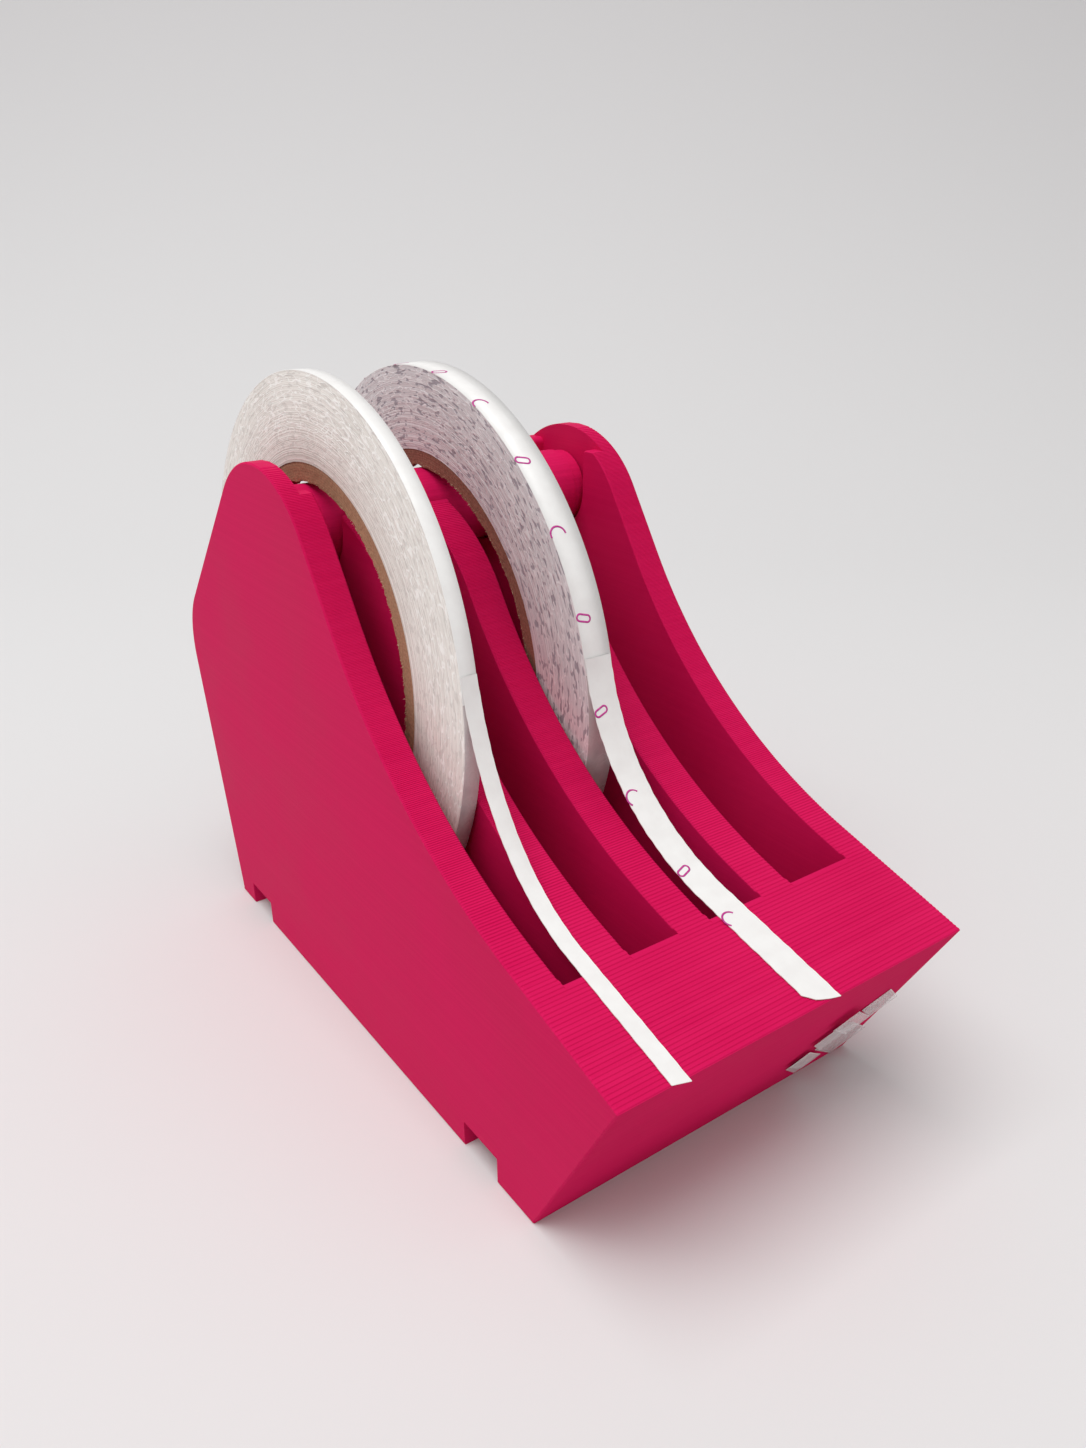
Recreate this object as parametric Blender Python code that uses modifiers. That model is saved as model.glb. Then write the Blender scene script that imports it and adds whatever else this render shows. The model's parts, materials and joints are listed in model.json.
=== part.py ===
"""A 3D-printed desk stand for rolls of narrow tape, with its spindle and two loaded rolls.

Metres, +Z up. X runs across the stand, -Y is the front, and the origin is in the middle of the
underside. The side profile is drawn in the YZ plane and extruded across the width.
"""

import math

import bmesh
import bpy
from mathutils import Matrix, Vector

MM = 0.001

# Across the width: two side walls, four slots that grow wider, and three dividers
SIDE_PLATE = 4.0 * MM
CRADLE_LAYER = 2.8 * MM
SLOT_WIDTHS = (7.7 * MM, 11.4 * MM, 13.5 * MM, 16.2 * MM)
DIVIDER_THICKNESSES = (6.9 * MM, 7.7 * MM, 8.0 * MM)
SIDE_WALL = SIDE_PLATE + CRADLE_LAYER
WIDTH = 2.0 * SIDE_WALL + sum(SLOT_WIDTHS) + sum(DIVIDER_THICKNESSES)

# Side profile
BASE_DEPTH = 141.0 * MM
LIP_OVERHANG = 23.6 * MM
LIP_HEIGHT = 44.2 * MM
RAMP_ANGLE = math.radians(16.25)
SWOOP_RADIUS = 113.0 * MM
BROW_ANGLE = math.radians(56.2)
HEAD_RADIUS = 25.7 * MM
HEAD_CENTRE_BELOW_AXIS = 11.1 * MM
SHOULDER_ANGLE = math.radians(46.5)
BACK_LEAN = math.radians(12.1)
BULGE_RADIUS = 20.0 * MM

# Slots: they start above the toe, run out through the back and dip behind the rolls
SLOT_FLOOR = 12.0 * MM
SLOT_SETBACK = 0.0 * MM
SLOT_ROUND_CLEARANCE = 3.8 * MM

# Spindle and the cradles that it lies in
AXIS_HEIGHT = 109.7 * MM
AXIS_SETBACK = 99.8 * MM
SPINDLE_RADIUS = 9.0 * MM
SPINDLE_JOURNAL_STEP = 0.35 * MM
SPINDLE_JOURNAL_LENGTH = 3.4 * MM
SPINDLE_CHAMFER = 0.8 * MM
SPINDLE_END_PLAY = 0.5 * MM
CRADLE_SIDE_CLEARANCE = 1.0 * MM
HORN_TOP_ABOVE_AXIS = 10.3 * MM
HORN_ROUNDING = 1.5 * MM
CROWN_START_BELOW_AXIS = 11.1 * MM
CROWN_RISE = 16.0 * MM
CROWN_LEDGE = 0.08 * MM

# Finger grooves across the underside
GROOVE_WIDTH = 12.0 * MM
GROOVE_DEPTH = 5.8 * MM
FRONT_GROOVE_SETBACK = 12.0 * MM
REAR_GROOVE_HEEL = 8.0 * MM

# Rolls: number of the slot, sizes, how far the roll is pulled forward, its lean and its turn
RESTING_GAP = 0.3 * MM
ROLLS = (
    {"slot": 0, "width": 3.6 * MM, "bore": 36.9 * MM, "core": 4.2 * MM, "outer": 59.9 * MM,
     "side_gap": 3.5 * MM, "pull": 4.0 * MM, "lean": math.radians(-0.9), "turn": math.radians(0.3),
     "leaves_above": 12.0 * MM, "tail_shift": 0.0 * MM},
    {"slot": 2, "width": 6.6 * MM, "bore": 38.5 * MM, "core": 3.8 * MM, "outer": 60.8 * MM,
     "side_gap": 1.3 * MM, "pull": 1.0 * MM, "lean": math.radians(3.4), "turn": math.radians(-0.8),
     "leaves_above": 10.0 * MM, "tail_shift": 3.3 * MM},
)

# Tape tails
TAPE_THICKNESS = 0.3 * MM
TAIL_LANDING = 4.0 * MM
TAIL_HANG_PULL = 17.0 * MM
TAIL_RAMP_PULL = 20.0 * MM
TAIL_END_SETBACK = 0.3 * MM

# Scraps of clear tape on the slanted front face: centre along X from the right edge, centre up
# the face, length, width, tilt in the face, and the layer of the stack that the scrap is in
SCRAP_THICKNESS = 0.25 * MM
SCRAPS = (
    (8.5 * MM, 11.2 * MM, 19.0 * MM, 10.0 * MM, -45.0, 0),
    (5.7 * MM, 24.8 * MM, 14.5 * MM, 7.5 * MM, -47.0, 0),
    (18.4 * MM, 20.5 * MM, 10.0 * MM, 7.0 * MM, -50.0, 1),
    (16.6 * MM, 26.6 * MM, 15.0 * MM, 6.6 * MM, -45.0, 2),
    (20.5 * MM, 12.0 * MM, 12.0 * MM, 5.6 * MM, -44.0, 1),
    (19.5 * MM, 7.6 * MM, 11.5 * MM, 4.2 * MM, -48.0, 0),
)

ARC_STEP = math.radians(4.0)
ROLL_STEPS = 96
SPINDLE_STEPS = 48
CUT_MARGIN = 12.0 * MM

TOE_Y = -BASE_DEPTH / 2.0
HEEL_Y = BASE_DEPTH / 2.0
AXIS_Y = TOE_Y + AXIS_SETBACK
HEAD_CENTRE = Vector((AXIS_Y, AXIS_HEIGHT - HEAD_CENTRE_BELOW_AXIS))
LIP = Vector((TOE_Y - LIP_OVERHANG, LIP_HEIGHT))
RAMP = Vector((math.cos(RAMP_ANGLE), math.sin(RAMP_ANGLE)))
BROW = Vector((math.cos(BROW_ANGLE), math.sin(BROW_ANGLE)))
SHOULDER = Vector((math.cos(SHOULDER_ANGLE), -math.sin(SHOULDER_ANGLE)))
BACK = Vector((math.sin(BACK_LEAN), math.cos(BACK_LEAN)))


# ---------------------------------------------------------------- scene, materials and helpers

def clear_scene():
    for obj in list(bpy.data.objects):
        bpy.data.objects.remove(obj, do_unlink=True)
    for group in list(bpy.data.collections):
        bpy.data.collections.remove(group)


def new_collection(name):
    group = bpy.data.collections.new(name)
    bpy.context.scene.collection.children.link(group)
    return group


def make_material(name, colour, roughness, alpha=1.0):
    material = bpy.data.materials.new(name)
    material.use_nodes = True
    surface = material.node_tree.nodes["Principled BSDF"]
    surface.inputs["Base Color"].default_value = (*colour, 1.0)
    surface.inputs["Roughness"].default_value = roughness
    surface.inputs["Metallic"].default_value = 0.0
    surface.inputs["Alpha"].default_value = alpha
    return material


def make_empty(name, location, group, parent=None):
    empty = bpy.data.objects.new(name, None)
    empty.empty_display_size = 10.0 * MM
    group.objects.link(empty)
    empty.parent = parent
    empty.location = location
    return empty


def arc(centre, radius, start, end):
    """Points on an arc from angle start to angle end, both ends included."""
    steps = max(2, math.ceil(abs(end - start) / ARC_STEP))
    angles = [start + (end - start) * i / steps for i in range(steps + 1)]
    return [Vector((centre.x + radius * math.cos(a), centre.y + radius * math.sin(a))) for a in angles]


def crossing(point_a, direction_a, point_b, direction_b):
    """Where two lines in the profile plane meet."""
    divisor = direction_a.x * direction_b.y - direction_a.y * direction_b.x
    offset = point_b - point_a
    along = (offset.x * direction_b.y - offset.y * direction_b.x) / divisor
    return point_a + direction_a * along


def fillet(before, corner, after, radius):
    """Arc that rounds a corner, limited to the shorter of the two straights that meet there."""
    to_before = (before - corner).normalized()
    to_after = (after - corner).normalized()
    half = math.acos(max(-1.0, min(1.0, to_before.dot(to_after)))) / 2.0
    room = 0.98 * min((before - corner).length, (after - corner).length)
    radius = min(radius, room * math.tan(half))
    centre = corner + (to_before + to_after).normalized() * (radius / math.sin(half))
    first = corner + to_before * (radius / math.tan(half)) - centre
    last = corner + to_after * (radius / math.tan(half)) - centre
    start = math.atan2(first.y, first.x)
    turn = math.atan2(first.x * last.y - first.y * last.x, first.dot(last))
    return arc(centre, radius, start, start + turn)


def mesh_object(name, mesh, group, matrix):
    obj = bpy.data.objects.new(name, mesh)
    group.objects.link(obj)
    obj.matrix_world = matrix
    return obj


def extruded(name, outline, x_low, x_high, group):
    """Solid with a YZ outline, from x_low to x_high, as a mesh whose caps are welded."""
    curve = bpy.data.curves.new(name + "_outline", "CURVE")
    curve.dimensions = "2D"
    curve.fill_mode = "BOTH"
    curve.extrude = (x_high - x_low) / 2.0
    spline = curve.splines.new("POLY")
    spline.points.add(len(outline) - 1)
    for point, (y, z) in zip(spline.points, outline):
        point.co = (y, z, 0.0, 1.0)
    spline.use_cyclic_u = True
    drawn = bpy.data.objects.new(name + "_outline", curve)
    bpy.context.scene.collection.objects.link(drawn)
    drawn.rotation_euler = (math.pi / 2.0, 0.0, math.pi / 2.0)
    drawn.location = ((x_low + x_high) / 2.0, 0.0, 0.0)
    bpy.context.view_layer.update()
    evaluated = drawn.evaluated_get(bpy.context.evaluated_depsgraph_get())
    mesh = bpy.data.meshes.new_from_object(evaluated)
    mesh.name = name
    solid = bmesh.new()
    solid.from_mesh(mesh)
    bmesh.ops.remove_doubles(solid, verts=solid.verts, dist=0.001 * MM)
    bmesh.ops.recalc_face_normals(solid, faces=solid.faces)
    solid.to_mesh(mesh)
    solid.free()
    obj = mesh_object(name, mesh, group, drawn.matrix_world.copy())
    bpy.data.objects.remove(drawn, do_unlink=True)
    return obj


def cut_away(body, cutter):
    cutter.hide_render = True
    cutter.display_type = "WIRE"
    cut = body.modifiers.new(cutter.name, "BOOLEAN")
    cut.operation = "DIFFERENCE"
    cut.object = cutter


def turned(name, profile, steps, group, merge_axis=False):
    """Turned piece about local Z; profile is a closed or axis-to-axis list of (radius, height)."""
    mesh = bpy.data.meshes.new(name)
    count = len(profile)
    edges = [(i, i + 1) for i in range(count - 1)]
    if not merge_axis:
        edges.append((count - 1, 0))
    mesh.from_pydata([(radius, 0.0, height) for radius, height in profile], edges, [])
    obj = mesh_object(name, mesh, group, Matrix())
    screw = obj.modifiers.new("turn", "SCREW")
    screw.steps = steps
    screw.render_steps = steps
    screw.use_merge_vertices = merge_axis
    screw.merge_threshold = 0.005 * MM
    screw.use_smooth_shade = True
    return obj


# ---------------------------------------------------------------- the printed stand

def slot_edges():
    """Lowest and highest x of each slot."""
    edges = []
    x = -WIDTH / 2.0 + SIDE_WALL
    for index, width in enumerate(SLOT_WIDTHS):
        edges.append((x, x + width))
        x += width
        if index < len(DIVIDER_THICKNESSES):
            x += DIVIDER_THICKNESSES[index]
    return edges


def brow_touch():
    """Where the straight brow meets the round head."""
    return HEAD_CENTRE + HEAD_RADIUS * Vector((-math.sin(BROW_ANGLE), math.cos(BROW_ANGLE)))


def shoulder_touch():
    """Where the round head meets the straight shoulder behind it."""
    return HEAD_CENTRE + HEAD_RADIUS * Vector((math.sin(SHOULDER_ANGLE), math.cos(SHOULDER_ANGLE)))


def front_curve():
    """The ramp's upper end and the swoop, from the ramp up to the brow."""
    corner = crossing(LIP, RAMP, brow_touch(), BROW)
    return fillet(LIP, corner, brow_touch(), SWOOP_RADIUS)


def wall_outline():
    """Outline of a side wall, from the toe round the lip, the swoop, the head and the back."""
    heel = Vector((HEEL_Y, 0.0))
    bulge = crossing(heel, BACK, shoulder_touch(), SHOULDER)
    head = arc(HEAD_CENTRE, HEAD_RADIUS, math.pi / 2.0 + BROW_ANGLE, math.pi / 2.0 - SHOULDER_ANGLE)
    outline = [Vector((TOE_Y, 0.0)), LIP]
    outline += front_curve()
    outline += head
    outline += fillet(shoulder_touch(), bulge, heel, BULGE_RADIUS)
    outline.append(heel)
    return outline


def profile_y(height, front):
    """Where the outline crosses a height, on its front or on its back."""
    points = wall_outline()
    hits = []
    for low, high in zip(points, points[1:] + points[:1]):
        if (low.y - height) * (high.y - height) < 0.0:
            hits.append(low.x + (high.x - low.x) * (height - low.y) / (high.y - low.y))
    return min(hits) if front else max(hits)


def crown_outline():
    """What is cut off above the dividers, whose two horns share one low round crown."""
    start = AXIS_HEIGHT - CROWN_START_BELOW_AXIS
    top = start + CROWN_RISE
    high = HEAD_CENTRE.y + HEAD_RADIUS + CUT_MARGIN
    front = profile_y(start, True) + CROWN_LEDGE
    back = profile_y(start, False) - CROWN_LEDGE
    points = [Vector((front - CUT_MARGIN, start))]
    for edge, side in ((front, -1.0), (back, 1.0)):
        span = abs(edge - AXIS_Y)
        radius = (span ** 2 + CROWN_RISE ** 2) / (2.0 * CROWN_RISE)
        sweep = math.asin(span / radius)
        centre = Vector((AXIS_Y, top - radius))
        stretch = arc(centre, radius, math.pi / 2.0 - side * sweep, math.pi / 2.0)
        points += stretch[:-1] if side < 0.0 else list(reversed(stretch))
    points += [Vector((back + CUT_MARGIN, start)), Vector((back + CUT_MARGIN, high))]
    points.append(Vector((front - CUT_MARGIN, high)))
    return points


def head_outline():
    """What is cut between the outer plates: the top of the horns and the open cradle."""
    top = AXIS_HEIGHT + HORN_TOP_ABOVE_AXIS
    radius = SPINDLE_RADIUS + CRADLE_SIDE_CLEARANCE
    bottom = Vector((AXIS_Y, AXIS_HEIGHT - SPINDLE_RADIUS - RESTING_GAP + radius))
    front_round = Vector((AXIS_Y - radius - HORN_ROUNDING, top - HORN_ROUNDING))
    back_round = Vector((AXIS_Y + radius + HORN_ROUNDING, top - HORN_ROUNDING))
    reach = HEAD_RADIUS + CUT_MARGIN
    points = [Vector((AXIS_Y - reach, top))]
    points += arc(front_round, HORN_ROUNDING, math.pi / 2.0, 0.0)
    points += arc(bottom, radius, math.pi, 2.0 * math.pi)
    points += arc(back_round, HORN_ROUNDING, math.pi, math.pi / 2.0)
    points += [Vector((AXIS_Y + reach, top)), Vector((AXIS_Y + reach, top + reach))]
    points.append(Vector((AXIS_Y - reach, top + reach)))
    return points


def slot_outline():
    """One slot seen from the side: flat floor, then round behind the rolls and out at the back."""
    front = TOE_Y + SLOT_SETBACK
    back = HEEL_Y + LIP_OVERHANG + CUT_MARGIN
    high = HEAD_CENTRE.y + HEAD_RADIUS + CUT_MARGIN
    radius = max(roll["outer"] for roll in ROLLS) + SLOT_ROUND_CLEARANCE
    centre = Vector((AXIS_Y, SLOT_FLOOR + radius))
    points = [Vector((front, high)), Vector((front, SLOT_FLOOR))]
    points += arc(centre, radius, -math.pi / 2.0, math.radians(-12.0))
    points += [Vector((back, points[-1].y)), Vector((back, high))]
    return points


def groove_outline(start):
    return [Vector((start, -CUT_MARGIN)), Vector((start, GROOVE_DEPTH)),
            Vector((start + GROOVE_WIDTH, GROOVE_DEPTH)), Vector((start + GROOVE_WIDTH, -CUT_MARGIN))]


def build_stand(group, cutters, material):
    half = WIDTH / 2.0
    stand = extruded("stand", wall_outline(), -half, half, group)
    inner = half - SIDE_WALL
    cut_away(stand, extruded("crown_cut", crown_outline(), -inner, inner, cutters))
    plate = half - SIDE_PLATE
    cut_away(stand, extruded("head_cut", head_outline(), -plate, plate, cutters))
    for number, (low, high) in enumerate(slot_edges(), start=1):
        cut_away(stand, extruded(f"slot_{number}_cut", slot_outline(), low, high, cutters))
    over = half + CUT_MARGIN
    starts = {"front": TOE_Y + FRONT_GROOVE_SETBACK, "rear": HEEL_Y - REAR_GROOVE_HEEL - GROOVE_WIDTH}
    for name, start in starts.items():
        cut_away(stand, extruded(f"{name}_groove_cut", groove_outline(start), -over, over, cutters))
    stand.data.materials.append(material)
    return stand


# ---------------------------------------------------------------- spindle and rolls

def build_spindle(group, parent, material):
    """A round bar with slightly thinner ends, lying along X on its own axis."""
    half = WIDTH / 2.0 - SIDE_PLATE - SPINDLE_END_PLAY
    shoulder = half - SPINDLE_JOURNAL_LENGTH
    journal = SPINDLE_RADIUS - SPINDLE_JOURNAL_STEP
    upper = [(0.0, half), (journal - SPINDLE_CHAMFER, half), (journal, half - SPINDLE_CHAMFER),
             (journal, shoulder), (SPINDLE_RADIUS, shoulder)]
    lower = [(radius, -height) for radius, height in reversed(upper)]
    spindle = turned("spindle", upper + lower, SPINDLE_STEPS, group, merge_axis=True)
    spindle.data.materials.append(material)
    spindle.parent = parent
    spindle.rotation_euler = (0.0, math.pi / 2.0, 0.0)
    return spindle


def roll_centre(roll):
    """Centre of a roll that hangs on the spindle by the inside of its core."""
    hang = roll["bore"] - SPINDLE_RADIUS - RESTING_GAP - roll["width"] / 2.0 * math.sin(abs(roll["lean"]))
    x = slot_edges()[roll["slot"]][0] + roll["side_gap"] + roll["width"] / 2.0
    return Vector((x, AXIS_Y - roll["pull"], AXIS_HEIGHT - math.sqrt(hang ** 2 - roll["pull"] ** 2)))


def build_roll(number, roll, group, parent, card, tape):
    """Cardboard core and wound tape, both turned about the roll's own axis."""
    hub = make_empty(f"roll_{number}_axis", roll_centre(roll) - parent.location, group, parent)
    hub.rotation_euler = (0.0, math.pi / 2.0 - roll["lean"], roll["turn"])
    half = roll["width"] / 2.0
    core_outer = roll["bore"] + roll["core"]
    rings = (("core", roll["bore"], core_outer, card),
             ("tape", core_outer + RESTING_GAP, roll["outer"], tape))
    for name, inside, outside, material in rings:
        profile = [(outside, half), (outside, -half), (inside, -half), (inside, half)]
        ring = turned(f"roll_{number}_{name}", profile, ROLL_STEPS, group)
        ring.data.materials.append(material)
        ring.parent = hub


# ---------------------------------------------------------------- tape tails and scraps

def tail_path(roll):
    """Middle line of a tail, from the front of its roll down to the ramp and along to the lip."""
    centre = roll_centre(roll)
    lift = RESTING_GAP + TAPE_THICKNESS / 2.0
    reach = roll["outer"] + lift
    angle = math.pi - math.asin(roll["leaves_above"] / reach)
    start = Vector((centre.y - reach, centre.z + roll["leaves_above"]))
    down = Vector((-math.sin(angle), math.cos(angle)))
    normal = Vector((-RAMP.y, RAMP.x))
    on_ramp = LIP + RAMP * ((LIP_OVERHANG + TAIL_LANDING) / RAMP.x) + normal * lift
    end = LIP + RAMP * TAIL_END_SETBACK + normal * lift
    handles = (start, start + down * TAIL_HANG_PULL, on_ramp + RAMP * TAIL_RAMP_PULL, on_ramp)
    path = []
    for step in range(19):
        t = step / 18.0
        weights = ((1.0 - t) ** 3, 3.0 * t * (1.0 - t) ** 2, 3.0 * t ** 2 * (1.0 - t), t ** 3)
        path.append(sum((point * weight for point, weight in zip(handles, weights)), Vector((0.0, 0.0))))
    path += [on_ramp.lerp(end, step / 4.0) for step in range(1, 5)]
    return path


def build_tail(number, roll, group, material):
    """Flat ribbon along the tail's path, drifting sideways by tail_shift on its way to the lip."""
    path = tail_path(roll)
    centre_x = roll_centre(roll).x
    front_x = centre_x + math.tan(roll["turn"]) * roll["outer"]
    front_x -= math.tan(roll["lean"]) * roll["leaves_above"]
    ribbon = bmesh.new()
    rails = []
    for side in (-0.5, 0.5):
        rail = []
        for point in path:
            drift = roll["tail_shift"] * (path[0].x - point.x) / (path[0].x - path[-1].x)
            rail.append(ribbon.verts.new((front_x + drift + side * roll["width"], point.x, point.y)))
        rails.append(rail)
    for i in range(len(path) - 1):
        ribbon.faces.new((rails[0][i], rails[0][i + 1], rails[1][i + 1], rails[1][i]))
    mesh = bpy.data.meshes.new(f"roll_{number}_tail")
    ribbon.to_mesh(mesh)
    ribbon.free()
    tail = mesh_object(f"roll_{number}_tail", mesh, group, Matrix())
    skin = tail.modifiers.new("thickness", "SOLIDIFY")
    skin.thickness = TAPE_THICKNESS
    skin.offset = 0.0
    skin.use_even_offset = True
    tail.data.materials.append(material)
    return tail


def build_scrap(number, scrap, group, material):
    """A rectangle of clear tape lying on the slanted front face, in its layer of the stack."""
    from_right, up_face, length, width, tilt, layer = scrap
    face = Vector((0.0, LIP.x - TOE_Y, LIP.y)).normalized()
    outward = Vector((0.0, -face.z, face.y))
    across = Vector((1.0, 0.0, 0.0))
    lift = RESTING_GAP + SCRAP_THICKNESS / 2.0 + layer * (SCRAP_THICKNESS + RESTING_GAP)
    centre = Vector((WIDTH / 2.0 - from_right, TOE_Y, 0.0)) + face * up_face + outward * lift
    turn = Matrix.Rotation(math.radians(tilt), 4, "Z")
    plate = bmesh.new()
    bmesh.ops.create_cube(plate, size=1.0)
    bmesh.ops.scale(plate, verts=plate.verts, vec=(length, width, SCRAP_THICKNESS))
    mesh = bpy.data.meshes.new(f"clear_tape_scrap_{number}")
    plate.to_mesh(mesh)
    plate.free()
    frame = Matrix((across, face, outward)).transposed().to_4x4()
    frame.translation = centre
    obj = mesh_object(mesh.name, mesh, group, frame @ turn)
    obj.data.materials.append(material)
    return obj


def main():
    clear_scene()
    parts = new_collection("spool_holder_stand")
    cutters = new_collection("cutters")
    print_pla = make_material("printed_pla", (0.51, 0.013, 0.091), 0.5)
    spindle_pla = make_material("printed_pla_spindle", (0.46, 0.011, 0.08), 0.48)
    card = make_material("core_board", (0.34, 0.19, 0.12), 0.9)
    plain_tape = make_material("plain_tape", (0.76, 0.72, 0.69), 0.7)
    printed_tape = make_material("printed_tape", (0.55, 0.5, 0.5), 0.7)
    liner = make_material("liner_paper", (0.93, 0.92, 0.9), 0.6)
    clear_tape = make_material("clear_tape", (0.75, 0.74, 0.72), 0.25, alpha=0.45)

    build_stand(parts, cutters, print_pla)
    lift = make_empty("spindle_axis", Vector((0.0, AXIS_Y, AXIS_HEIGHT)), parts)
    build_spindle(parts, lift, spindle_pla)
    for number, (roll, tape) in enumerate(zip(ROLLS, (plain_tape, printed_tape)), start=1):
        build_roll(number, roll, parts, lift, card, tape)
        build_tail(number, roll, parts, liner)
    for number, scrap in enumerate(SCRAPS, start=1):
        build_scrap(number, scrap, parts, clear_tape)
    bpy.context.view_layer.update()


main()
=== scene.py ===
"""Looks of a 3D-printed tape stand: its printed layers, spindle, two wound rolls, tails and scraps.

The CAD parts come from the frame and stay where they are. Each class below builds what is seen of
one sub-assembly, in millimetres of the row frame, and rides it on its CAD body.
"""

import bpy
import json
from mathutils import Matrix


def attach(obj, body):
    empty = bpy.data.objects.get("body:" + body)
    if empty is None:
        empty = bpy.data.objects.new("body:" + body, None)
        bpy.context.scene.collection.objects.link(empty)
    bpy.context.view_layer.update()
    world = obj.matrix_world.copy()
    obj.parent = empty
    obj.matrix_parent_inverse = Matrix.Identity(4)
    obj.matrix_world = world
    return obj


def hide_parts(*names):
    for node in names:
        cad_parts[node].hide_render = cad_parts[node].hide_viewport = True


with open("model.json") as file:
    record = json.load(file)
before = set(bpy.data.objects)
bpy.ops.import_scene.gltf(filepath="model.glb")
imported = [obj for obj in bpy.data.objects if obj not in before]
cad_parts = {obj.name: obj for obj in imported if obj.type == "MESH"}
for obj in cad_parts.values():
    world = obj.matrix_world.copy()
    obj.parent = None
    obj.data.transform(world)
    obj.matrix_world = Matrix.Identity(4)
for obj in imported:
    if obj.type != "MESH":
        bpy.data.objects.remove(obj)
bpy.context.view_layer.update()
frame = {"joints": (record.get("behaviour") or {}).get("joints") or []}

import json
import logging
import math
from dataclasses import dataclass, field
from enum import Enum
from typing import Any, Callable, Dict, List, Optional, Sequence, Tuple

import bmesh
import bpy
import numpy as np
from mathutils import Matrix, Vector
from mathutils.geometry import delaunay_2d_cdt

LOG = logging.getLogger("tape_stand")
Point = Tuple[float, float]
Colour = Tuple[float, float, float, float]
Tree = bpy.types.NodeTree
Socket = bpy.types.NodeSocket
Piece = bpy.types.Object

# Sizes of the stand that more than one class needs, in millimetres
MM = 0.001
STAND_DEPTH = 141.0
LIP_OVERHANG = 23.6
LIP_HEIGHT = 44.2
RAMP_ANGLE = math.radians(16.25)
AXIS_SETBACK = 99.8
AXIS_HEIGHT = 109.7
TOE: Point = (-STAND_DEPTH / 2.0, 0.0)
LIP: Point = (TOE[0] - LIP_OVERHANG, LIP_HEIGHT)
LAYER = 0.24


class Body(Enum):
    """The CAD bodies that pieces ride on."""

    STAND = "stand"
    SPINDLE = "spindle"
    ROLL_1 = "roll_1"
    ROLL_2 = "roll_2"


class Slot(Enum):
    """The record's material slots."""

    PRINT = "printed_pla"
    SPINDLE = "printed_pla_spindle"
    CORE = "core_board"
    PLAIN = "plain_tape"
    PRINTED = "printed_tape"
    LINER = "liner_paper"
    CLEAR = "clear_tape"


class Edge(Enum):
    """Which of its two side faces a slab of the print shows."""

    NONE = 0
    LEFT = 1
    RIGHT = 2
    BOTH = 3


# ------------------------------------------------------------------------------ node helpers


def linear(hex_colour: str) -> Colour:
    """Turns an sRGB hex colour into linear light.

    Args:
        hex_colour: A # and six hex digits.

    Returns:
        Linear red, green and blue, and an alpha of 1.
    """
    channels = [int(hex_colour[i : i + 2], 16) / 255.0 for i in (1, 3, 5)]
    lit = [c / 12.92 if c <= 0.04045 else ((c + 0.055) / 1.055) ** 2.4 for c in channels]
    return (lit[0], lit[1], lit[2], 1.0)


def add_node(
    tree: Tree, kind: str, inputs: Optional[Dict[Any, Any]] = None, **settings: Any
) -> bpy.types.Node:
    """Adds one node with its settings, values and incoming links.

    Args:
        tree: The shader or geometry tree.
        kind: The node's type name.
        inputs: Input name or number to a value, or to the output socket that feeds it.
        settings: Properties of the node.

    Returns:
        The new node.
    """
    node = tree.nodes.new(kind)
    for name, value in settings.items():
        setattr(node, name, value)
    for key, value in (inputs or {}).items():
        socket = node.inputs[key]
        if isinstance(value, Socket):
            tree.links.new(value, socket)
        else:
            socket.default_value = value
    return node


def math_node(tree: Tree, operation: str, *values: Any) -> Socket:
    """Adds a Math node for an operation on sockets or numbers and returns its output."""
    return add_node(tree, "ShaderNodeMath", dict(enumerate(values)), operation=operation).outputs[0]


def vector_node(tree: Tree, operation: str, inputs: Dict[Any, Any], output: int = 0) -> Socket:
    """Adds a Vector Math node and returns its vector (0) or its value (1)."""
    return add_node(tree, "ShaderNodeVectorMath", inputs, operation=operation).outputs[output]


def mix_colours(tree: Tree, factor: Any, first: Any, second: Any) -> Socket:
    """Adds a colour Mix node between two hex colours or sockets and returns its output."""
    ends = [linear(c) if isinstance(c, str) else c for c in (first, second)]
    inputs = {0: factor, 6: ends[0], 7: ends[1]}
    return add_node(tree, "ShaderNodeMix", inputs, data_type="RGBA").outputs[2]


def spread(tree: Tree, value: Any, low: float, high: float) -> Socket:
    """Adds a Map Range node that takes low..high to 0..1, clamped, and returns its output."""
    inputs = {"Value": value, "From Min": low, "From Max": high}
    return add_node(tree, "ShaderNodeMapRange", inputs).outputs[0]


def noise(tree: Tree, vector: Any, scale: float, detail: float = 2.0) -> Socket:
    """Adds a Noise texture with a scale per metre and returns its value output."""
    inputs = {"Vector": vector, "Scale": scale, "Detail": detail}
    return add_node(tree, "ShaderNodeTexNoise", inputs).outputs[0]


def white_noise(tree: Tree, key: Socket) -> Socket:
    """Adds a random value for each whole number and returns its output."""
    return add_node(tree, "ShaderNodeTexWhiteNoise", {"W": key}, noise_dimensions="1D").outputs[0]


def new_surface(name: str, roughness: float) -> Tuple[bpy.types.Material, bpy.types.Node]:
    """Makes a material with a Principled surface.

    Args:
        name: The real material and how it was made.
        roughness: The surface's roughness where no node sets it.

    Returns:
        The material and its Principled node.
    """
    material = bpy.data.materials.new(name)
    material.use_nodes = True
    surface = material.node_tree.nodes["Principled BSDF"]
    surface.inputs["Roughness"].default_value = roughness
    return material, surface


def add_bump(
    tree: Tree, surface: bpy.types.Node, height: Socket, depth: float, strength: float
) -> None:
    """Presses a height into the surface's normal, with its depth in millimetres."""
    inputs = {"Height": height, "Distance": depth * MM, "Strength": strength}
    bump = add_node(tree, "ShaderNodeBump", inputs)
    tree.links.new(bump.outputs[0], surface.inputs["Normal"])


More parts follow.
